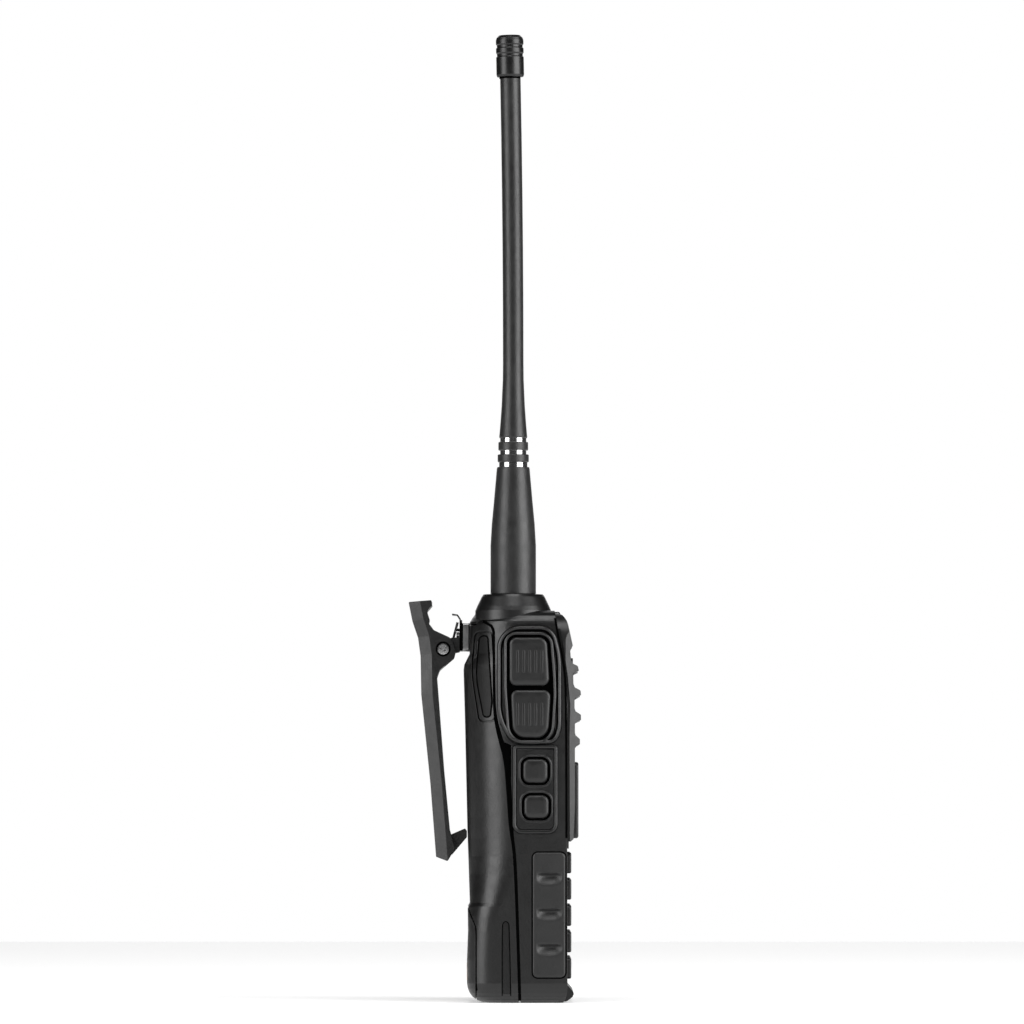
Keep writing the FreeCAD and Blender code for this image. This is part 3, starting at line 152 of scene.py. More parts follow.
MATERIALS = {
    "case_plastic": surface("case_plastic", 3, 7, (0.28, 0.38), 0.60, 0.030, edge=0.22),
    "panel_plastic": surface("panel_plastic", 6, 11, (0.34, 0.44), 0.47, 0.024, edge=0.18),
    "collar_plastic": surface("collar_plastic", 3, 7, (0.30, 0.38), 0.55, 0.016, edge=0.15),
    "knob_plastic": surface("knob_plastic", 9, 14, (0.30, 0.40), 0.53, 0.020, edge=0.12),
    "clip_plastic": surface("clip_plastic", 7, 13, (0.34, 0.44), 0.51, 0.028, edge=0.18),
    "latch_plastic": surface("latch_plastic", 3, 7, (0.40, 0.50), 0.53, 0.016, edge=0.15, specular=0.22),
    "tip_plastic": surface("tip_plastic", 4, 8, (0.30, 0.38), 0.55, 0.012, edge=0.10),
    "front_key": surface("front_key", 9, 15, (0.36, 0.46), 0.51, 0.016, edge=0.12),
    "side_key_rubber": surface("side_key_rubber", 5, 9, (0.36, 0.46), 0.49, 0.020, edge=0.20, sheen=0.05),
    "grip_rubber": surface("grip_rubber", 8, 14, (0.42, 0.52), 0.47, 0.028, edge=0.16, sheen=0.08),
    "soft_rubber": surface("soft_rubber", 12, 18, (0.46, 0.56), 0.47, 0.024, edge=0.16, sheen=0.08),
    "antenna_rubber": surface("antenna_rubber", 12, 22, (0.34, 0.46), 0.55, 0.060, edge=0.05, sheen=0.06,
                              detail=3.0),
    "polished_metal": surface("polished_metal", 205, 222, (0.10, 0.18), 0.20, 0.001, metal=1.0),
    "clip_metal": surface("clip_metal", 150, 170, (0.26, 0.36), 0.15, 0.003, metal=1.0, edge=0.08,
                          stretch=(0.1, 1, 1)),
    "steel": surface("steel", 165, 185, (0.22, 0.34), 0.12, 0.002, metal=1.0, edge=0.06),
    "dark_metal": surface("dark_metal", 60, 75, (0.30, 0.40), 0.15, 0.003, metal=1.0, edge=0.06),
    "die_cast": surface("die_cast", 140, 160, (0.40, 0.55), 0.35, 0.012, metal=1.0, edge=0.12),
    "gold_contact": surface("gold_contact", 190, 210, (0.18, 0.30), 0.12, 0.001, metal=1.0, edge=0.06,
                            warmth=0.18),
    "clear_window": see_through("clear_window", 225, 0.03, 1.5, 0.001),
    "clear_lens": see_through("clear_lens", 230, 0.06, 0.8, 0.002),
    "display": surface("display", 96, 104, (0.30, 0.36), 0.20, 0.001, warmth=-0.05),
    "circuit_board": surface("circuit_board", 50, 66, (0.35, 0.45), 0.25, 0.006, warmth=-0.1),
    "cell_wrap": surface("cell_wrap", 150, 165, (0.28, 0.38), 0.40, 0.004),
    # seal_rubber is near-black and almost without shine. It paints shade: strips and fills in joints, grooves
    # and recesses, and rings under the antenna's foot and tip cap. It also makes the dark lines on the clip
    # bracket and the dark rings round the pin heads.
    "seal_rubber": surface("seal_rubber", 0, 2, (0.80, 0.95), 0.5, 0.01, specular=0.02),
    "mark_white": surface("mark_white", 190, 205, (0.4, 0.5), 0.4, 0.004),
    "display_ink": surface("display_ink", 20, 26, (0.4, 0.5), 0.4, 0.002),
}

# Painted light: the display glows faintly in place of the light that falls on an unlit reflective screen
# behind its window.
DISPLAY_PAINTED_GLOW = 0.35

display_glow_shader = MATERIALS["display"].node_tree.nodes["Principled BSDF"]
display_glow_shader.inputs["Emission Color"].default_value = tone(150, -0.05)
display_glow_shader.inputs["Emission Strength"].default_value = DISPLAY_PAINTED_GLOW

slot_of = {part["node"]: part["material_slot"] for part in frame["record"]["subparts"]}

for node, item in nodes.items():
    item.data.materials.clear()
    item.data.materials.append(MATERIALS[slot_of[node]])


# ---------------------------------------------------------------- shapes

def put(plane, u, v, out):
    """Point in metres for a place on an outline and a distance out from the middle, all in millimetres."""
    if plane == "near":
        return Vector((-out, u, v)) * MM
    if plane == "far":
        return Vector((out, u, v)) * MM
    return Vector((u, -out, v)) * MM


def outline(corners, steps=8):
    """Points round a convex shape with rounded corners, each with its outward direction."""
    area = sum(a[0] * b[1] - b[0] * a[1] for a, b in zip(corners, corners[1:] + corners[:1]))
    way = 1 if area > 0 else -1
    points = []
    for index, (u, v, radius) in enumerate(corners):
        here = Vector((u, v))
        into = (here - Vector(corners[index - 1][:2])).normalized()
        away = (Vector(corners[(index + 1) % len(corners)][:2]) - here).normalized()
        first = Vector((into.y, -into.x)) * way
        last = Vector((away.y, -away.x)) * way
        turn = first.angle(last)
        centre = here - into * radius * math.tan(turn / 2) - first * radius
        for step in range(steps + 1):
            share = step / steps
            outward = (first * math.sin((1 - share) * turn) + last * math.sin(share * turn)) / math.sin(turn)
            points.append((centre + outward * radius, outward))
    return points


def rings_to_mesh(bm, rings, closed=False):
    """Skins a row of equal rings of vertices; an open row is capped at both ends."""
    pairs = list(zip(rings, rings[1:]))
    if closed:
        pairs.append((rings[-1], rings[0]))
    for lower, upper in pairs:
        for index in range(len(lower)):
            after = (index + 1) % len(lower)
            bm.faces.new((lower[index], lower[after], upper[after], upper[index]))
    if not closed:
        bm.faces.new(rings[0])
        bm.faces.new(rings[-1])
    return bm


def contour(bm, plane, corners, growth, out):
    """Ring of vertices on a rounded outline, grown by an amount, at a distance out."""
    places = [point + outward * growth for point, outward in outline(corners)]
    return [bm.verts.new(put(plane, place.x, place.y, out)) for place in places]


def relief(bm, plane, corners, layers):
    """Solid whose contour grows by an amount at each distance out: layers of (growth, out)."""
    return rings_to_mesh(bm, [contour(bm, plane, corners, growth, out) for growth, out in layers])


def frame_relief(bm, plane, outer, inner, outer_layers, inner_layers):
    """Raised frame between two outlines, as a closed ring with a profile of (growth, out) layers."""
    rings = [contour(bm, plane, outer, growth, out) for growth, out in outer_layers]
    rings += [contour(bm, plane, inner, growth, out) for growth, out in inner_layers]
    return rings_to_mesh(bm, rings, closed=True)


def plate(bm, plane, outer, holes, low, high):
    """Flat plate with holes, between two distances out."""
    edges = []
    for corners in [outer] + holes:
        ring = contour(bm, plane, corners, 0, low)
        edges += [bm.edges.new((a, b)) for a, b in zip(ring, ring[1:] + ring[:1])]
    filled = bmesh.ops.triangle_fill(bm, edges=edges, use_beauty=True)
    faces = [item for item in filled["geom"] if isinstance(item, bmesh.types.BMFace)]
    raised = bmesh.ops.extrude_face_region(bm, geom=faces, use_keep_orig=True)
    moved = [item for item in raised["geom"] if isinstance(item, bmesh.types.BMVert)]
    bmesh.ops.translate(bm, verts=moved, vec=put(plane, 0, 0, high) - put(plane, 0, 0, low))
    return bm


def ring_turned(bm, profile, x, y, segments=96):
    """Turned ring on an upright axis, from a closed profile of (radius, height) points."""
    rings = []
    for radius, height in profile:
        turns = [2 * math.pi * step / segments for step in range(segments)]
        rings.append([bm.verts.new(Vector((x + radius * math.cos(t), y + radius * math.sin(t), height)) * MM)
                      for t in turns])
    return rings_to_mesh(bm, rings, closed=True)


def tube(bm, path, radius, sides=12):
    """Round wire along a path of points, in millimetres."""
    rings = []
    side = Vector((1, 0, 0))
    for index, point in enumerate(path):
        ahead = (path[min(index + 1, len(path) - 1)] - path[max(index - 1, 0)]).normalized()
        side = (side - ahead * side.dot(ahead)).normalized()
        up = ahead.cross(side)
        turns = [2 * math.pi * step / sides for step in range(sides)]
        rings.append([bm.verts.new((point + (side * math.cos(t) + up * math.sin(t)) * radius) * MM)
                      for t in turns])
    return rings_to_mesh(bm, rings)


def piece(name, bm, slot, body, *stands_for, sharp=32):
    """Turns a bmesh into a shown piece that rides on a body, and may stand for CAD nodes."""
    bmesh.ops.recalc_face_normals(bm, faces=bm.faces)
    mesh = bpy.data.meshes.new(name)
    bm.to_mesh(mesh)
    bm.free()
    mesh.materials.append(MATERIALS[slot])
    mesh.shade_smooth()
    mesh.set_sharp_from_angle(angle=math.radians(sharp))
    item = bpy.data.objects.new(name, mesh)
    bpy.context.scene.collection.objects.link(item)
    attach(item, body)
    if stands_for:
        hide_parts(*stands_for)
    return item


# ---------------------------------------------------------------- push-to-talk side

PTT_FRAME = [(6.8, 105.7, 6.5), (6.8, 80.0, 15.0), (2.8, 72.5, 5.5), (-9.9, 72.5, 3.5), (-11.4, 77.0, 11.0),
             (-11.4, 97.0, 26.0), (-9.2, 105.7, 5.0)]
PTT_POCKET = [(3.9, 103.0, 2.5), (3.9, 88.0, 10.0), (2.9, 73.6, 4.2), (-8.2, 73.4, 4.2), (-9.0, 86.0, 18.0),
              (-8.8, 92.0, 18.0), (-7.9, 103.0, 3.0)]
PTT_A = [(3.3, 102.4, 1.9), (3.3, 88.9, 1.9), (-8.0, 88.9, 1.9), (-7.3, 102.4, 2.4)]
PTT_B = [(3.0, 87.6, 1.9), (2.3, 74.4, 3.6), (-7.6, 74.1, 3.6), (-8.4, 87.6, 1.9)]
SIDE_FRAME = [(2.4, 72.3, 1.2), (2.4, 47.4, 2.8), (-10.3, 47.4, 2.8), (-10.3, 72.3, 1.2)]
SIDE_KEY_UPPER = [(-0.5, 68.3, 1.9), (-0.5, 61.6, 1.9), (-7.5, 61.6, 1.9), (-7.5, 68.3, 1.9)]
SIDE_KEY_LOWER = [(-0.8, 58.2, 1.9), (-0.8, 51.7, 1.9), (-7.8, 51.7, 1.9), (-7.8, 58.2, 1.9)]
CROWN = [(0.0, 0.0), (-0.12, 0.28), (-0.4, 0.48), (-0.8, 0.60), (-1.3, 0.66), (-1.7, 0.68)]
KEY_ROOT = 25.0
TALK_KEY_FACE = 28.8
SIDE_KEY_FACE = 28.3
SIDE_KEY_GAP = 0.6
BEZEL_ROOT = 26.9
RIB_COUNT = 5
RIB_PITCH = 1.7
RIB_HALF = 0.3
RIB_INSET = 3.6
RIB_MIDDLE_Y = -2.4


def widened(corners, amount):
    """Outline of a hole that clears a key by an amount."""
    middle_u = sum(c[0] for c in corners) / len(corners)
    middle_v = sum(c[1] for c in corners) / len(corners)
    return [(u + (amount if u > middle_u else -amount), v + (amount if v > middle_v else -amount), r + amount)
            for u, v, r in corners]


def crowned_key(name, corners, face, ribs):
    """Soft side key with a domed face and a number of low grip ribs."""
    bm = bmesh.new()
    start = face - CROWN[-1][1]
    relief(bm, "near", corners, [(0, KEY_ROOT)] + [(growth, start + rise) for growth, rise in CROWN])
    low = min(c[1] for c in corners) + RIB_INSET
    high = max(c[1] for c in corners) - RIB_INSET
    for index in range(ribs):
        y = RIB_MIDDLE_Y + (index - (ribs - 1) / 2) * RIB_PITCH
        rib = [(y + RIB_HALF, low, 0.25), (y + RIB_HALF, high, 0.25), (y - RIB_HALF, high, 0.25),
               (y - RIB_HALF, low, 0.25)]
        relief(bm, "near", rib, [(0, face - 0.2), (0, face + 0.01), (-0.15, face + 0.05)])
    return piece(name + "_cap", bm, "side_key_rubber", name, name)


bezel = bmesh.new()
frame_relief(bezel, "near", PTT_FRAME, PTT_POCKET,
             [(0, BEZEL_ROOT), (0, 28.3), (-0.25, 28.75), (-0.7, 28.95), (-1.0, 28.75), (-1.15, 28.2),
              (-1.5, 28.15)],
             [(1.05, 28.3), (0.85, 28.75), (0.55, 28.9), (0.2, 28.75), (0, 28.3), (0, BEZEL_ROOT)])
piece("ptt_bezel_frame", bezel, "case_plastic", "radio", "ptt_bezel")

bezel = bmesh.new()
holes = [widened(SIDE_KEY_UPPER, SIDE_KEY_GAP), widened(SIDE_KEY_LOWER, SIDE_KEY_GAP)]
plate(bezel, "near", widened(SIDE_FRAME, -1.2), holes, BEZEL_ROOT, 28.0)
frame_relief(bezel, "near", SIDE_FRAME, widened(SIDE_FRAME, -1.1),
             [(0, BEZEL_ROOT), (0, 28.1), (-0.2, 28.35), (-0.5, 28.45)],
             [(0.15, 28.3), (0, 27.8), (0, BEZEL_ROOT)])
for hole in holes:
    frame_relief(bezel, "near", hole, hole, [(0.6, 27.9), (0.55, 28.2), (0.35, 28.3)],
                 [(0.1, 28.25), (0, 28.0), (0, 27.6)])
piece("side_key_bezel_frame", bezel, "case_plastic", "radio", "side_key_bezel")

crowned_key("ptt_a", PTT_A, TALK_KEY_FACE, RIB_COUNT)
crowned_key("ptt_b", PTT_B, TALK_KEY_FACE, RIB_COUNT)
crowned_key("side_key_upper", SIDE_KEY_UPPER, SIDE_KEY_FACE, 0)
crowned_key("side_key_lower", SIDE_KEY_LOWER, SIDE_KEY_FACE, 0)


# ---------------------------------------------------------------- joint between body and pack, and painted shade in joints and grooves

SEAM_LINE = [(10.7, 107.0), (8.3, 105.7), (7.6, 103.9), (7.6, 83.0), (6.8, 77.6), (5.4, 72.6), (4.0, 67.9),
             (3.4, 59.7), (2.8, 48.1), (1.9, 42.7), (1.3, 31.3), (0.4, 2.1), (0.38, 0.6)]
SEAM_WIDTHS = [(0, 0.42), (30, 0.44), (45, 0.48), (52, 0.66), (68, 0.84), (76, 0.6), (84, 0.38), (107, 0.32)]
WEDGE = [(5.9, 73.2, 0.4), (2.8, 72.2, 0.3), (2.8, 49.2, 0.3), (3.3, 49.2, 0.3), (4.4, 66.0, 4.0)]
SIDE_RADIUS = 160.0
PATH_STEP = 1.2
BACK_LINE = [(0, 15.2), (12, 15.2), (20, 14.9), (27, 15.0), (28, 14.4), (39.8, 14.8), (48.3, 15.1),
             (79.5, 15.8), (93.5, 16.2), (95, 16.0), (98, 14.5), (107, 14.5)]
BACK_RADII = [(0, 7.5), (20, 7.5), (24, 8.2), (30, 10.4), (36, 12.7), (41, 13.8), (46, 14.3), (52, 14.5),
              (110, 14.5)]
HALF_WIDTH = 27.7
FOOT_RADIUS = 5.5
SHOULDER_START = 105.0
SHOULDER_RADIUS = 5.0


def between(table, key):
    """Straight-line value from a table of (key, value)."""
    for (k0, v0), (k1, v1) in zip(table, table[1:]):
        if k0 <= key <= k1:
            return v0 + (v1 - v0) * (key - k0) / (k1 - k0)
    return table[0][1] if key < table[0][0] else table[-1][1]


def side_out(y, z):
    """Distance of the body's side face from the middle plane, round its large back corner too."""
    radius = between(BACK_RADII, z)
    rise = between(BACK_LINE, z) - radius
    out = HALF_WIDTH - SIDE_RADIUS
    if y > rise * SIDE_RADIUS / (SIDE_RADIUS - radius):
        towards = math.sqrt((SIDE_RADIUS - radius) ** 2 - rise ** 2)
        out = out + towards + math.sqrt(max(radius ** 2 - (y - rise) ** 2, 0))
    else:
        out = out + math.sqrt(SIDE_RADIUS ** 2 - y ** 2)
    if z < FOOT_RADIUS:
        out -= FOOT_RADIUS - math.sqrt(FOOT_RADIUS ** 2 - (FOOT_RADIUS - z) ** 2)
    if z > SHOULDER_START:
        out -= SHOULDER_RADIUS - math.sqrt(SHOULDER_RADIUS ** 2 - (z - SHOULDER_START) ** 2)
    return out


def rounded_path(points, rounds=3):
    """Cuts the corners of an open path to make it smooth."""
    for _ in range(rounds):
        cut = [points[0]]
        for first, second in zip(points, points[1:]):
            cut += [first.lerp(second, 0.25), first.lerp(second, 0.75)]
        points = cut + [points[-1]]
    return points


def inlaid_line(bm, plane, path, widths, closed=False, lift=0.01):
    """Near-black strip let into the side face along a path, painting the shade in a joint or groove, with
    half its width from a table by height.
    """
    depth = 0.5
    fine = []
    for first, second in zip(path, path[1:] + path[:1] if closed else path[1:]):
        pieces = max(math.ceil((second - first).length / PATH_STEP), 1)
        fine += [first.lerp(second, share / pieces) for share in range(pieces)]
    path = fine if closed else fine + [path[-1]]
    rings = []
    count = len(path)
    for index, point in enumerate(path):
        after = path[(index + 1) % count] if closed else path[min(index + 1, count - 1)]
        before = path[index - 1] if closed else path[max(index - 1, 0)]
        ahead = (after - before).normalized()
        across = Vector((ahead.y, -ahead.x)) * between(widths, point.y)
        low, high = point - across, point + across
        rings.append([bm.verts.new(put(plane, side.x, side.y, side_out(side.x, side.y) + rise))
                      for side, rise in ((low, -depth), (low, lift), (high, lift), (high, -depth))])
    return rings_to_mesh(bm, rings, closed)


def thin(half):
    """Table of widths for a line that is the same all along."""
    return [(0, half), (110, half)]


GRIP = [(-3.3, 7.2, 1.4), (-3.3, 42.1, 1.4), (-12.4, 42.1, 1.4), (-12.4, 7.2, 1.4)]
GRIP_LINE_HALF = 0.2
GROOVE_HALF = 0.3
LEAF_GROWTH = 0.15
LEAF_LINE_HALF = 0.27
FOOT_LINE_HALF = 0.17
SLOT_LINE_HALF = 0.14
LATCH_LEAF = [(9.55, 102.7, 0.8), (11.5, 102.7, 1.0), (12.5, 91.5, 25.0), (10.4, 80.3, 0.9), (8.8, 80.3, 0.8),
              (8.35, 84.5, 8.0)]
PANEL_GROOVE = [(-9.5, 107.9), (-10.6, 101.7), (-11.5, 97.5), (-12.3, 91.9), (-12.6, 84.9), (-12.7, 46.2)]
FOOT_LINE = [(12.6, 3.4), (12.6, 20.8), (13.1, 22.2), (14.2, 24.9)]
CHARGER_SLOT = [(2.9, 2.0), (3.3, 21.6), (3.6, 22.5), (4.3, 22.9), (5.0, 22.5), (5.3, 21.6), (5.3, 2.0)]

# Painted shade: near-black strips in the joint between body and pack, round the grips, in the panel groove
# and in the talk key bezel's groove, and fills in the wedge and under both key bezels.
shade_fill = bmesh.new()
for plane in ("near", "far"):
    inlaid_line(shade_fill, plane, rounded_path([Vector(point) for point in SEAM_LINE]), SEAM_WIDTHS, lift=0.03)
    around = [point + outward * GRIP_LINE_HALF for point, outward in outline(GRIP)]
    inlaid_line(shade_fill, plane, around, thin(GRIP_LINE_HALF), closed=True, lift=0.02)
    groove = rounded_path([Vector(point) for point in PANEL_GROOVE])
    inlaid_line(shade_fill, plane, groove, thin(GROOVE_HALF), lift=0.02)
frame_relief(shade_fill, "near", PTT_FRAME, PTT_FRAME, [(-1.02, 28.0), (-1.02, 28.34)],
             [(-1.5, 28.34), (-1.5, 28.0)])
relief(shade_fill, "near", WEDGE, [(0, 26.0), (0, 27.3), (-0.1, 27.45)])
relief(shade_fill, "near", widened(PTT_POCKET, 0.3), [(0, BEZEL_ROOT), (0, 27.4)])
relief(shade_fill, "near", widened(SIDE_FRAME, -0.5), [(0, BEZEL_ROOT), (0, 27.3)])
piece("body_painted_shade", shade_fill, "seal_rubber", "radio")

# Painted shade: near-black strips in the grooves round the latch leaf, along the foot block and in the
# charger slot.
shade_fill = bmesh.new()
for plane in ("near", "far"):
    around = [point + outward * LEAF_GROWTH for point, outward in outline(LATCH_LEAF, 12)]
    inlaid_line(shade_fill, plane, around, thin(LEAF_LINE_HALF), closed=True, lift=0.03)
    inlaid_line(shade_fill, plane, rounded_path([Vector(point) for point in FOOT_LINE]), thin(FOOT_LINE_HALF))
    inlaid_line(shade_fill, plane, rounded_path([Vector(point) for point in CHARGER_SLOT], 2), thin(SLOT_LINE_HALF))
piece("pack_painted_shade", shade_fill, "seal_rubber", "battery")


# ---------------------------------------------------------------- clip pin, spring and bracket

PIVOT_Y = 22.0
PIVOT_Z = 99.5
PIN_HEAD = 1.7
PIN_BACK = 8.1
PIN_FACE = 8.8
SHANK_RADIUS = 1.5
SHANK_HALF = 8.3
HEAD_SPOKES = 72
HEAD_RINGS = 14
CROSS_ARM = 1.05
CROSS_HALF = 0.26
CROSS_DEPTH = 0.45
CROSS_TURN = 0.4
PIN_RING_SPOKES = 48
PIN_RING_PROFILE = [(1.72, 8.3), (1.72, 9.03), (2.12, 9.03), (2.12, 8.9), (1.94, 8.9), (1.94, 8.3)]
COIL_TURNS = 6
COIL_STEPS = 24
COIL_RADIUS = 2.1
COIL_HALF = 4.4
WIRE_RADIUS = 0.35


def pin_head(bm, side):
    """Domed pin head with a cross recess."""
    rim = [(SHANK_RADIUS, PIN_BACK), (PIN_HEAD, PIN_BACK), (PIN_HEAD, PIN_FACE - 0.25),
           (PIN_HEAD - 0.12, PIN_FACE - 0.08)]
    rings = list(rim)
    for step in range(HEAD_RINGS):
        radius = (PIN_HEAD - 0.2) * (1 - step / HEAD_RINGS)
        rings.append((radius, PIN_FACE - 0.06 * (radius / PIN_HEAD) ** 2))
    made = []
    for index, (radius, out) in enumerate(rings):
        ring = []
        for spoke in range(HEAD_SPOKES):
            turn = 2 * math.pi * spoke / HEAD_SPOKES + CROSS_TURN
            y, z = radius * math.cos(turn), radius * math.sin(turn)
            across = min(abs(radius * math.cos(turn - CROSS_TURN)), abs(radius * math.sin(turn - CROSS_TURN)))
            in_cross = index >= len(rim) and radius < CROSS_ARM and across < CROSS_HALF
            sunk = CROSS_DEPTH if in_cross else 0.0
            ring.append(bm.verts.new(Vector((side * (out - sunk), PIVOT_Y + y, PIVOT_Z + z)) * MM))
        made.append(ring)
    return rings_to_mesh(bm, made)


pin = bmesh.new()
pin_head(pin, -1)
pin_head(pin, 1)
shank = [Vector((-SHANK_HALF, PIVOT_Y, PIVOT_Z)), Vector((SHANK_HALF, PIVOT_Y, PIVOT_Z))]
tube(pin, shank, SHANK_RADIUS, 32)
piece("clip_pin_turned", pin, "steel", "battery", "clip_pin")

# Dark rings round both pin heads.
pin_rings = bmesh.new()
for side in (-1, 1):
    rings = []
    for radius, out in PIN_RING_PROFILE:
        turns = [2 * math.pi * step / PIN_RING_SPOKES for step in range(PIN_RING_SPOKES)]
        rings.append([pin_rings.verts.new(Vector((side * out, PIVOT_Y + radius * math.cos(turn),
                                               PIVOT_Z + radius * math.sin(turn))) * MM) for turn in turns])
    rings_to_mesh(pin_rings, rings, closed=True)
piece("clip_pin_dark_rings", pin_rings, "seal_rubber", "belt_clip")

coil = bmesh.new()
path = [Vector((-COIL_HALF + 2 * COIL_HALF * s / (COIL_TURNS * COIL_STEPS),
                PIVOT_Y + COIL_RADIUS * math.cos(2 * math.pi * s / COIL_STEPS + math.pi),
                PIVOT_Z + COIL_RADIUS * math.sin(2 * math.pi * s / COIL_STEPS + math.pi)))
        for s in range(COIL_TURNS * COIL_STEPS + 1)]
path += [Vector((4.6, 19.5, 101.5)), Vector((4.6, 19.0, 103.5)), Vector((4.6, 18.0, 107.3))]
tube(coil, path, WIRE_RADIUS, 10)
piece("clip_spring_coil", coil, "steel", "battery", "clip_spring")

STRIP_DEPTH = 0.2
STRIP_PROUD = 0.03
ANTENNA_X = -15.5
PLATE_SIDE = 8.0
PLATE_LOW_Z = 99.0
PLATE_HIGH_Z = 106.8
PLATE_LINES = [(14.5, 14.85, PLATE_SIDE), (16.4, 16.72, PLATE_SIDE), (16.75, 17.38, 6.5)]

lines = bmesh.new()
for plane in ("near", "far"):
    for back, front, out in PLATE_LINES:
        strip = [(back, PLATE_LOW_Z, 0.05), (front, PLATE_LOW_Z, 0.05), (front, PLATE_HIGH_Z, 0.05),
                 (back, PLATE_HIGH_Z, 0.05)]
        relief(lines, plane, strip, [(0, out - STRIP_DEPTH), (0, out + STRIP_PROUD)])
piece("clip_plate_lines", lines, "seal_rubber", "battery")

# Painted shade: near-black rings under the antenna's foot and under its tip cap.
antenna_shade = bmesh.new()
ring_turned(antenna_shade, [(4.6, 114.73), (6.1, 114.73), (6.1, 114.92), (4.6, 114.92)], ANTENNA_X, 2.2)
ring_turned(antenna_shade, [(2.4, 260.35), (3.0, 260.35), (3.0, 260.83), (2.4, 260.83)], ANTENNA_X, 3.12)
piece("antenna_painted_shade_rings", antenna_shade, "seal_rubber", "antenna")


# ---------------------------------------------------------------- keypad marks and display

def glyph(bm, text, x, z, size, face, rise):
    """Raised character on the front, from the built-in font's outlines."""
    curve = bpy.data.curves.new("glyph", "FONT")
    curve.body = text
    curve.size = size * MM
    curve.extrude = rise / 2 * MM
    curve.align_x = "CENTER"
    curve.align_y = "CENTER"
    item = bpy.data.objects.new("glyph", curve)
    mesh = bpy.data.meshes.new_from_object(item)
    place = Matrix.Translation(Vector((x, -(face + rise / 2), z)) * MM)
    mesh.transform(place @ Matrix.Rotation(math.pi / 2, 4, "X"))
    bm.from_mesh(mesh)
    bpy.data.objects.remove(item)
    bpy.data.curves.remove(curve)
    bpy.data.meshes.remove(mesh)


KEY_FACE = 14.1
KEY_TOP_Z = 39.2
KEY_PITCH = 7.39
KEY_GAP = 1.5
KEYPAD_HALF = 22.5
MARK_SIZE = 4.2
MARK_SUNK = 0.03
MARK_RISE = 0.1
ROWS = [[("key_menu", "="), ("key_up", "+"), ("key_down", "-"), ("key_exit", "x")],
        [("key_1", "1"), ("key_2", "2"), ("key_3", "3")], [("key_4", "4"), ("key_5", "5"), ("key_6", "6")],
        [("key_7", "7"), ("key_8", "8"), ("key_9", "9")],
        [("key_star", "*"), ("key_0", "0"), ("key_hash", "#")]]

for row, keys in enumerate(ROWS):
    width = (2 * KEYPAD_HALF - KEY_GAP * (len(keys) - 1)) / len(keys)
    for column, (key, mark) in enumerate(keys):
        marks = bmesh.new()
        x = -KEYPAD_HALF + width / 2 + column * (width + KEY_GAP)
        z = KEY_TOP_Z - row * KEY_PITCH
        glyph(marks, mark, x, z, MARK_SIZE, KEY_FACE - MARK_SUNK, MARK_RISE)
        piece(key + "_mark", marks, "mark_white", key)

DIGIT_FACE = 14.87
DIGIT_SIZE = 5.6
DIGIT_RISE = 0.05

digits = bmesh.new()
for text, z in (("146.520", 60.3), ("446.000", 53.6)):
    glyph(digits, text, 0.0, z, DIGIT_SIZE, DIGIT_FACE, DIGIT_RISE)
piece("display_digits", digits, "display_ink", "radio")

CLOTH_PITCH = 0.8
CLOTH_WIRE = 0.14
CLOTH_SIDES = 6
CLOTH_DEPTHS = (-13.1, -13.0)

mesh_cloth = bmesh.new()
for index in range(40):
    x = -15.6 + CLOTH_PITCH * index
    upright = [Vector((x, CLOTH_DEPTHS[0], z)) for z in (71.4, 96.0)]
    tube(mesh_cloth, upright, CLOTH_WIRE, CLOTH_SIDES)
for index in range(31):
    z = 71.6 + CLOTH_PITCH * index
    level = [Vector((x, CLOTH_DEPTHS[1], z)) for x in (-16.2, 16.2)]
    tube(mesh_cloth, level, CLOTH_WIRE, CLOTH_SIDES)
piece("speaker_mesh", mesh_cloth, "dark_metal", "radio")


# ---------------------------------------------------------------- finger grips

GRIP_LOW = (-12.4, 7.2)
GRIP_HIGH = (-3.3, 42.1)
GRIP_CORNER = 1.4
GRIP_PROUD = 0.25
GRIP_EDGE = 0.45
GRIP_EDGE_DROP = 0.22
GRIP_ROOT = 25.9
GRIP_COLUMNS = 46
GRIP_ROWS = 150
NOTCHES = [34.9, 24.9, 15.0]
NOTCH_MIDDLE_Y = -7.95
NOTCH_HALF = 3.55
NOTCH_DEPTH = 1.35
NOTCH_BELOW = 2.1
NOTCH_ABOVE = 1.6
NOTCH_SAG = 0.7
RAMP_SHARE = 0.72
WALL_SHARE = 0.22


def notch_depth(y, z):
    """Depth of the finger notches: a long slope that faces up and a steep upper wall."""
    share = (y - NOTCH_MIDDLE_Y) / NOTCH_HALF
    if abs(share) >= 1:
        return 0.0
    width = 1 - abs(share) ** 3.0
    for middle in NOTCHES:
        low = middle - NOTCH_BELOW + NOTCH_SAG * abs(share) ** 2
        high = middle + NOTCH_ABOVE
        along = (z - low) / (high - low)
        if 0 < along < 1:
            ramp = min(along / RAMP_SHARE, 1.0)
            wall = min((1 - along) / WALL_SHARE, 1.0)
            ease = ramp * ramp * (3 - 2 * ramp)
            return NOTCH_DEPTH * min(0.35 * ramp + 0.65 * ease, wall) * width
    return 0.0


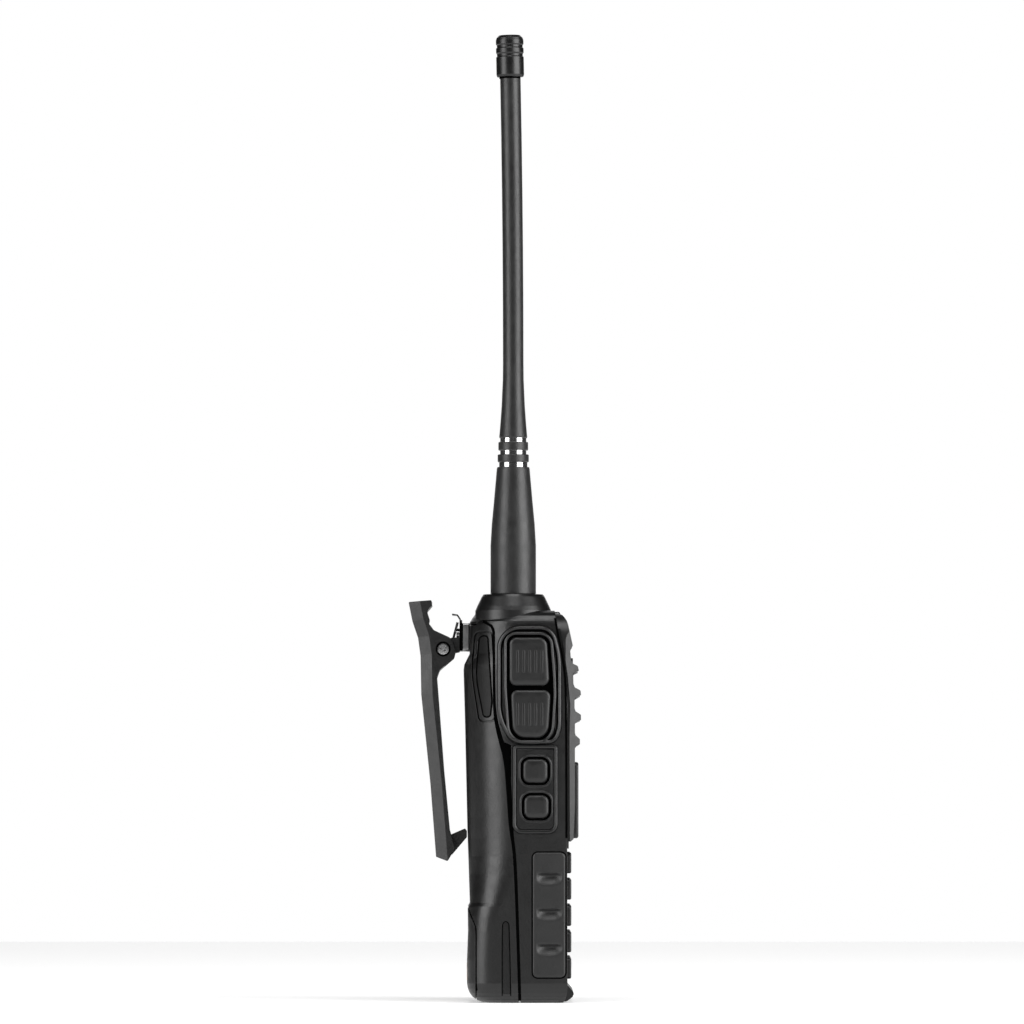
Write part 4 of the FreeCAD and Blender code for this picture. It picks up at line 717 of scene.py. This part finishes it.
def grip_pad(bm, plane):
    """Soft pad with rounded corners, a softened edge and three finger notches."""
    face = []
    for row in range(GRIP_ROWS + 1):
        line = []
        for column in range(GRIP_COLUMNS + 1):
            y = GRIP_LOW[0] + (GRIP_HIGH[0] - GRIP_LOW[0]) * column / GRIP_COLUMNS
            z = GRIP_LOW[1] + (GRIP_HIGH[1] - GRIP_LOW[1]) * row / GRIP_ROWS
            inner_y = min(max(y, GRIP_LOW[0] + GRIP_CORNER), GRIP_HIGH[0] - GRIP_CORNER)
            inner_z = min(max(z, GRIP_LOW[1] + GRIP_CORNER), GRIP_HIGH[1] - GRIP_CORNER)
            away = Vector((y - inner_y, z - inner_z))
            reach = max(abs(away.x), abs(away.y))
            if away.length > 0:
                away *= reach / away.length
            y, z = inner_y + away.x, inner_z + away.y
            edge = max(reach - GRIP_CORNER + GRIP_EDGE, 0) / GRIP_EDGE
            out = side_out(y, z) + GRIP_PROUD - GRIP_EDGE_DROP * edge ** 2 - notch_depth(y, z)
            line.append(bm.verts.new(put(plane, y, z, out)))
        face.append(line)
    for lower, upper in zip(face, face[1:]):
        for a, b, c, d in zip(lower, lower[1:], upper[1:], upper):
            bm.faces.new((a, b, c, d))
    rim = face[0] + [line[-1] for line in face[1:]] + face[-1][-2::-1] + [line[0] for line in face[-2:0:-1]]
    under = []
    for vert in rim:
        place = vert.co.copy()
        place.x = math.copysign(GRIP_ROOT * MM, place.x)
        under.append(bm.verts.new(place))
    for index in range(len(rim)):
        after = (index + 1) % len(rim)
        bm.faces.new((rim[index], rim[after], under[after], under[index]))
    bm.faces.new(under)


pads = bmesh.new()
grip_pad(pads, "near")
grip_pad(pads, "far")
piece("grip_pads", pads, "grip_rubber", "radio", "side_grips", sharp=50)


# ---------------------------------------------------------------- camera, light and floor

LIGHT_TARGET = (0, 0, 0.13)
CAMERA_PLACE = (-2.4, 0.00255, 0.057)
CAMERA_TARGET = (0, 0.00255, 0.1385)
FOCAL_LENGTH = 297.6
SENSOR_WIDTH = 36
FLOOR_HALF = 1.0
FLOOR_GAP = 0.00005
FLOOR_GLOW = 0.35


def aim(item, target):
    """Turns a lamp or camera to look at a point."""
    item.rotation_mode = "QUATERNION"
    item.rotation_quaternion = (Vector(target) - item.location).to_track_quat("-Z", "Y")


def softbox(name, azimuth, height, width, tall, brightness, distance=1.5):
    """Rectangular soft lamp round the object. Azimuth 0 is behind the camera and 90 on the keypad side."""
    turn = math.radians(azimuth)
    data = bpy.data.lights.new(name, "AREA")
    data.shape = "RECTANGLE"
    data.size = width
    data.size_y = tall
    data.energy = brightness * math.pi * width * tall
    item = bpy.data.objects.new(name, data)
    item.location = (-distance * math.cos(turn), -distance * math.sin(turn), height)
    bpy.context.scene.collection.objects.link(item)
    aim(item, LIGHT_TARGET)


camera = bpy.data.objects.new("camera", bpy.data.cameras.new("camera"))
bpy.context.scene.collection.objects.link(camera)
camera.location = CAMERA_PLACE
aim(camera, CAMERA_TARGET)
camera.data.lens = FOCAL_LENGTH
camera.data.sensor_width = SENSOR_WIDTH
bpy.context.scene.camera = camera

softbox("rear_light", -55, 0.45, 0.9, 1.6, 5)
softbox("front_light", 58, 0.45, 1.3, 1.6, 6)
softbox("top_light", 0, 1.5, 0.8, 0.8, 5, distance=0.6)
softbox("far_light", 180, 0.7, 1.2, 1.2, 1)

world = bpy.data.worlds.new("studio")
bpy.context.scene.world = world
world.use_nodes = True
sky = world.node_tree
sky.nodes.clear()
seen = add(sky, "ShaderNodeBackground", (0, 200), Color=(1, 1, 1, 1), Strength=1.0)
lit = add(sky, "ShaderNodeBackground", (0, 0), Color=(1, 1, 1, 1), Strength=0.05)
rays = add(sky, "ShaderNodeLightPath", (0, 400))
both = add(sky, "ShaderNodeMixShader", (200, 100))
output = add(sky, "ShaderNodeOutputWorld", (400, 100))
sky.links.new(rays.outputs["Is Camera Ray"], both.inputs["Fac"])
sky.links.new(lit.outputs["Background"], both.inputs[1])
sky.links.new(seen.outputs["Background"], both.inputs[2])
sky.links.new(both.outputs["Shader"], output.inputs["Surface"])

floor_mesh = bpy.data.meshes.new("floor")
floor_corners = [(-1, -1, 0), (1, -1, 0), (1, 1, 0), (-1, 1, 0)]
floor_mesh.from_pydata([Vector(corner) * FLOOR_HALF for corner in floor_corners], [], [(0, 1, 2, 3)])
floor = bpy.data.objects.new("floor", floor_mesh)
floor.location.z = -FLOOR_GAP
bpy.context.scene.collection.objects.link(floor)
paper = surface("floor", 236, 240, (0.85, 0.95), 2.0, 0.01)
paper_shader = paper.node_tree.nodes["Principled BSDF"]
paper_shader.inputs["Emission Color"].default_value = (1, 1, 1, 1)
paper_shader.inputs["Emission Strength"].default_value = FLOOR_GLOW
floor_mesh.materials.append(paper)

bpy.context.scene.view_settings.view_transform = "Standard"
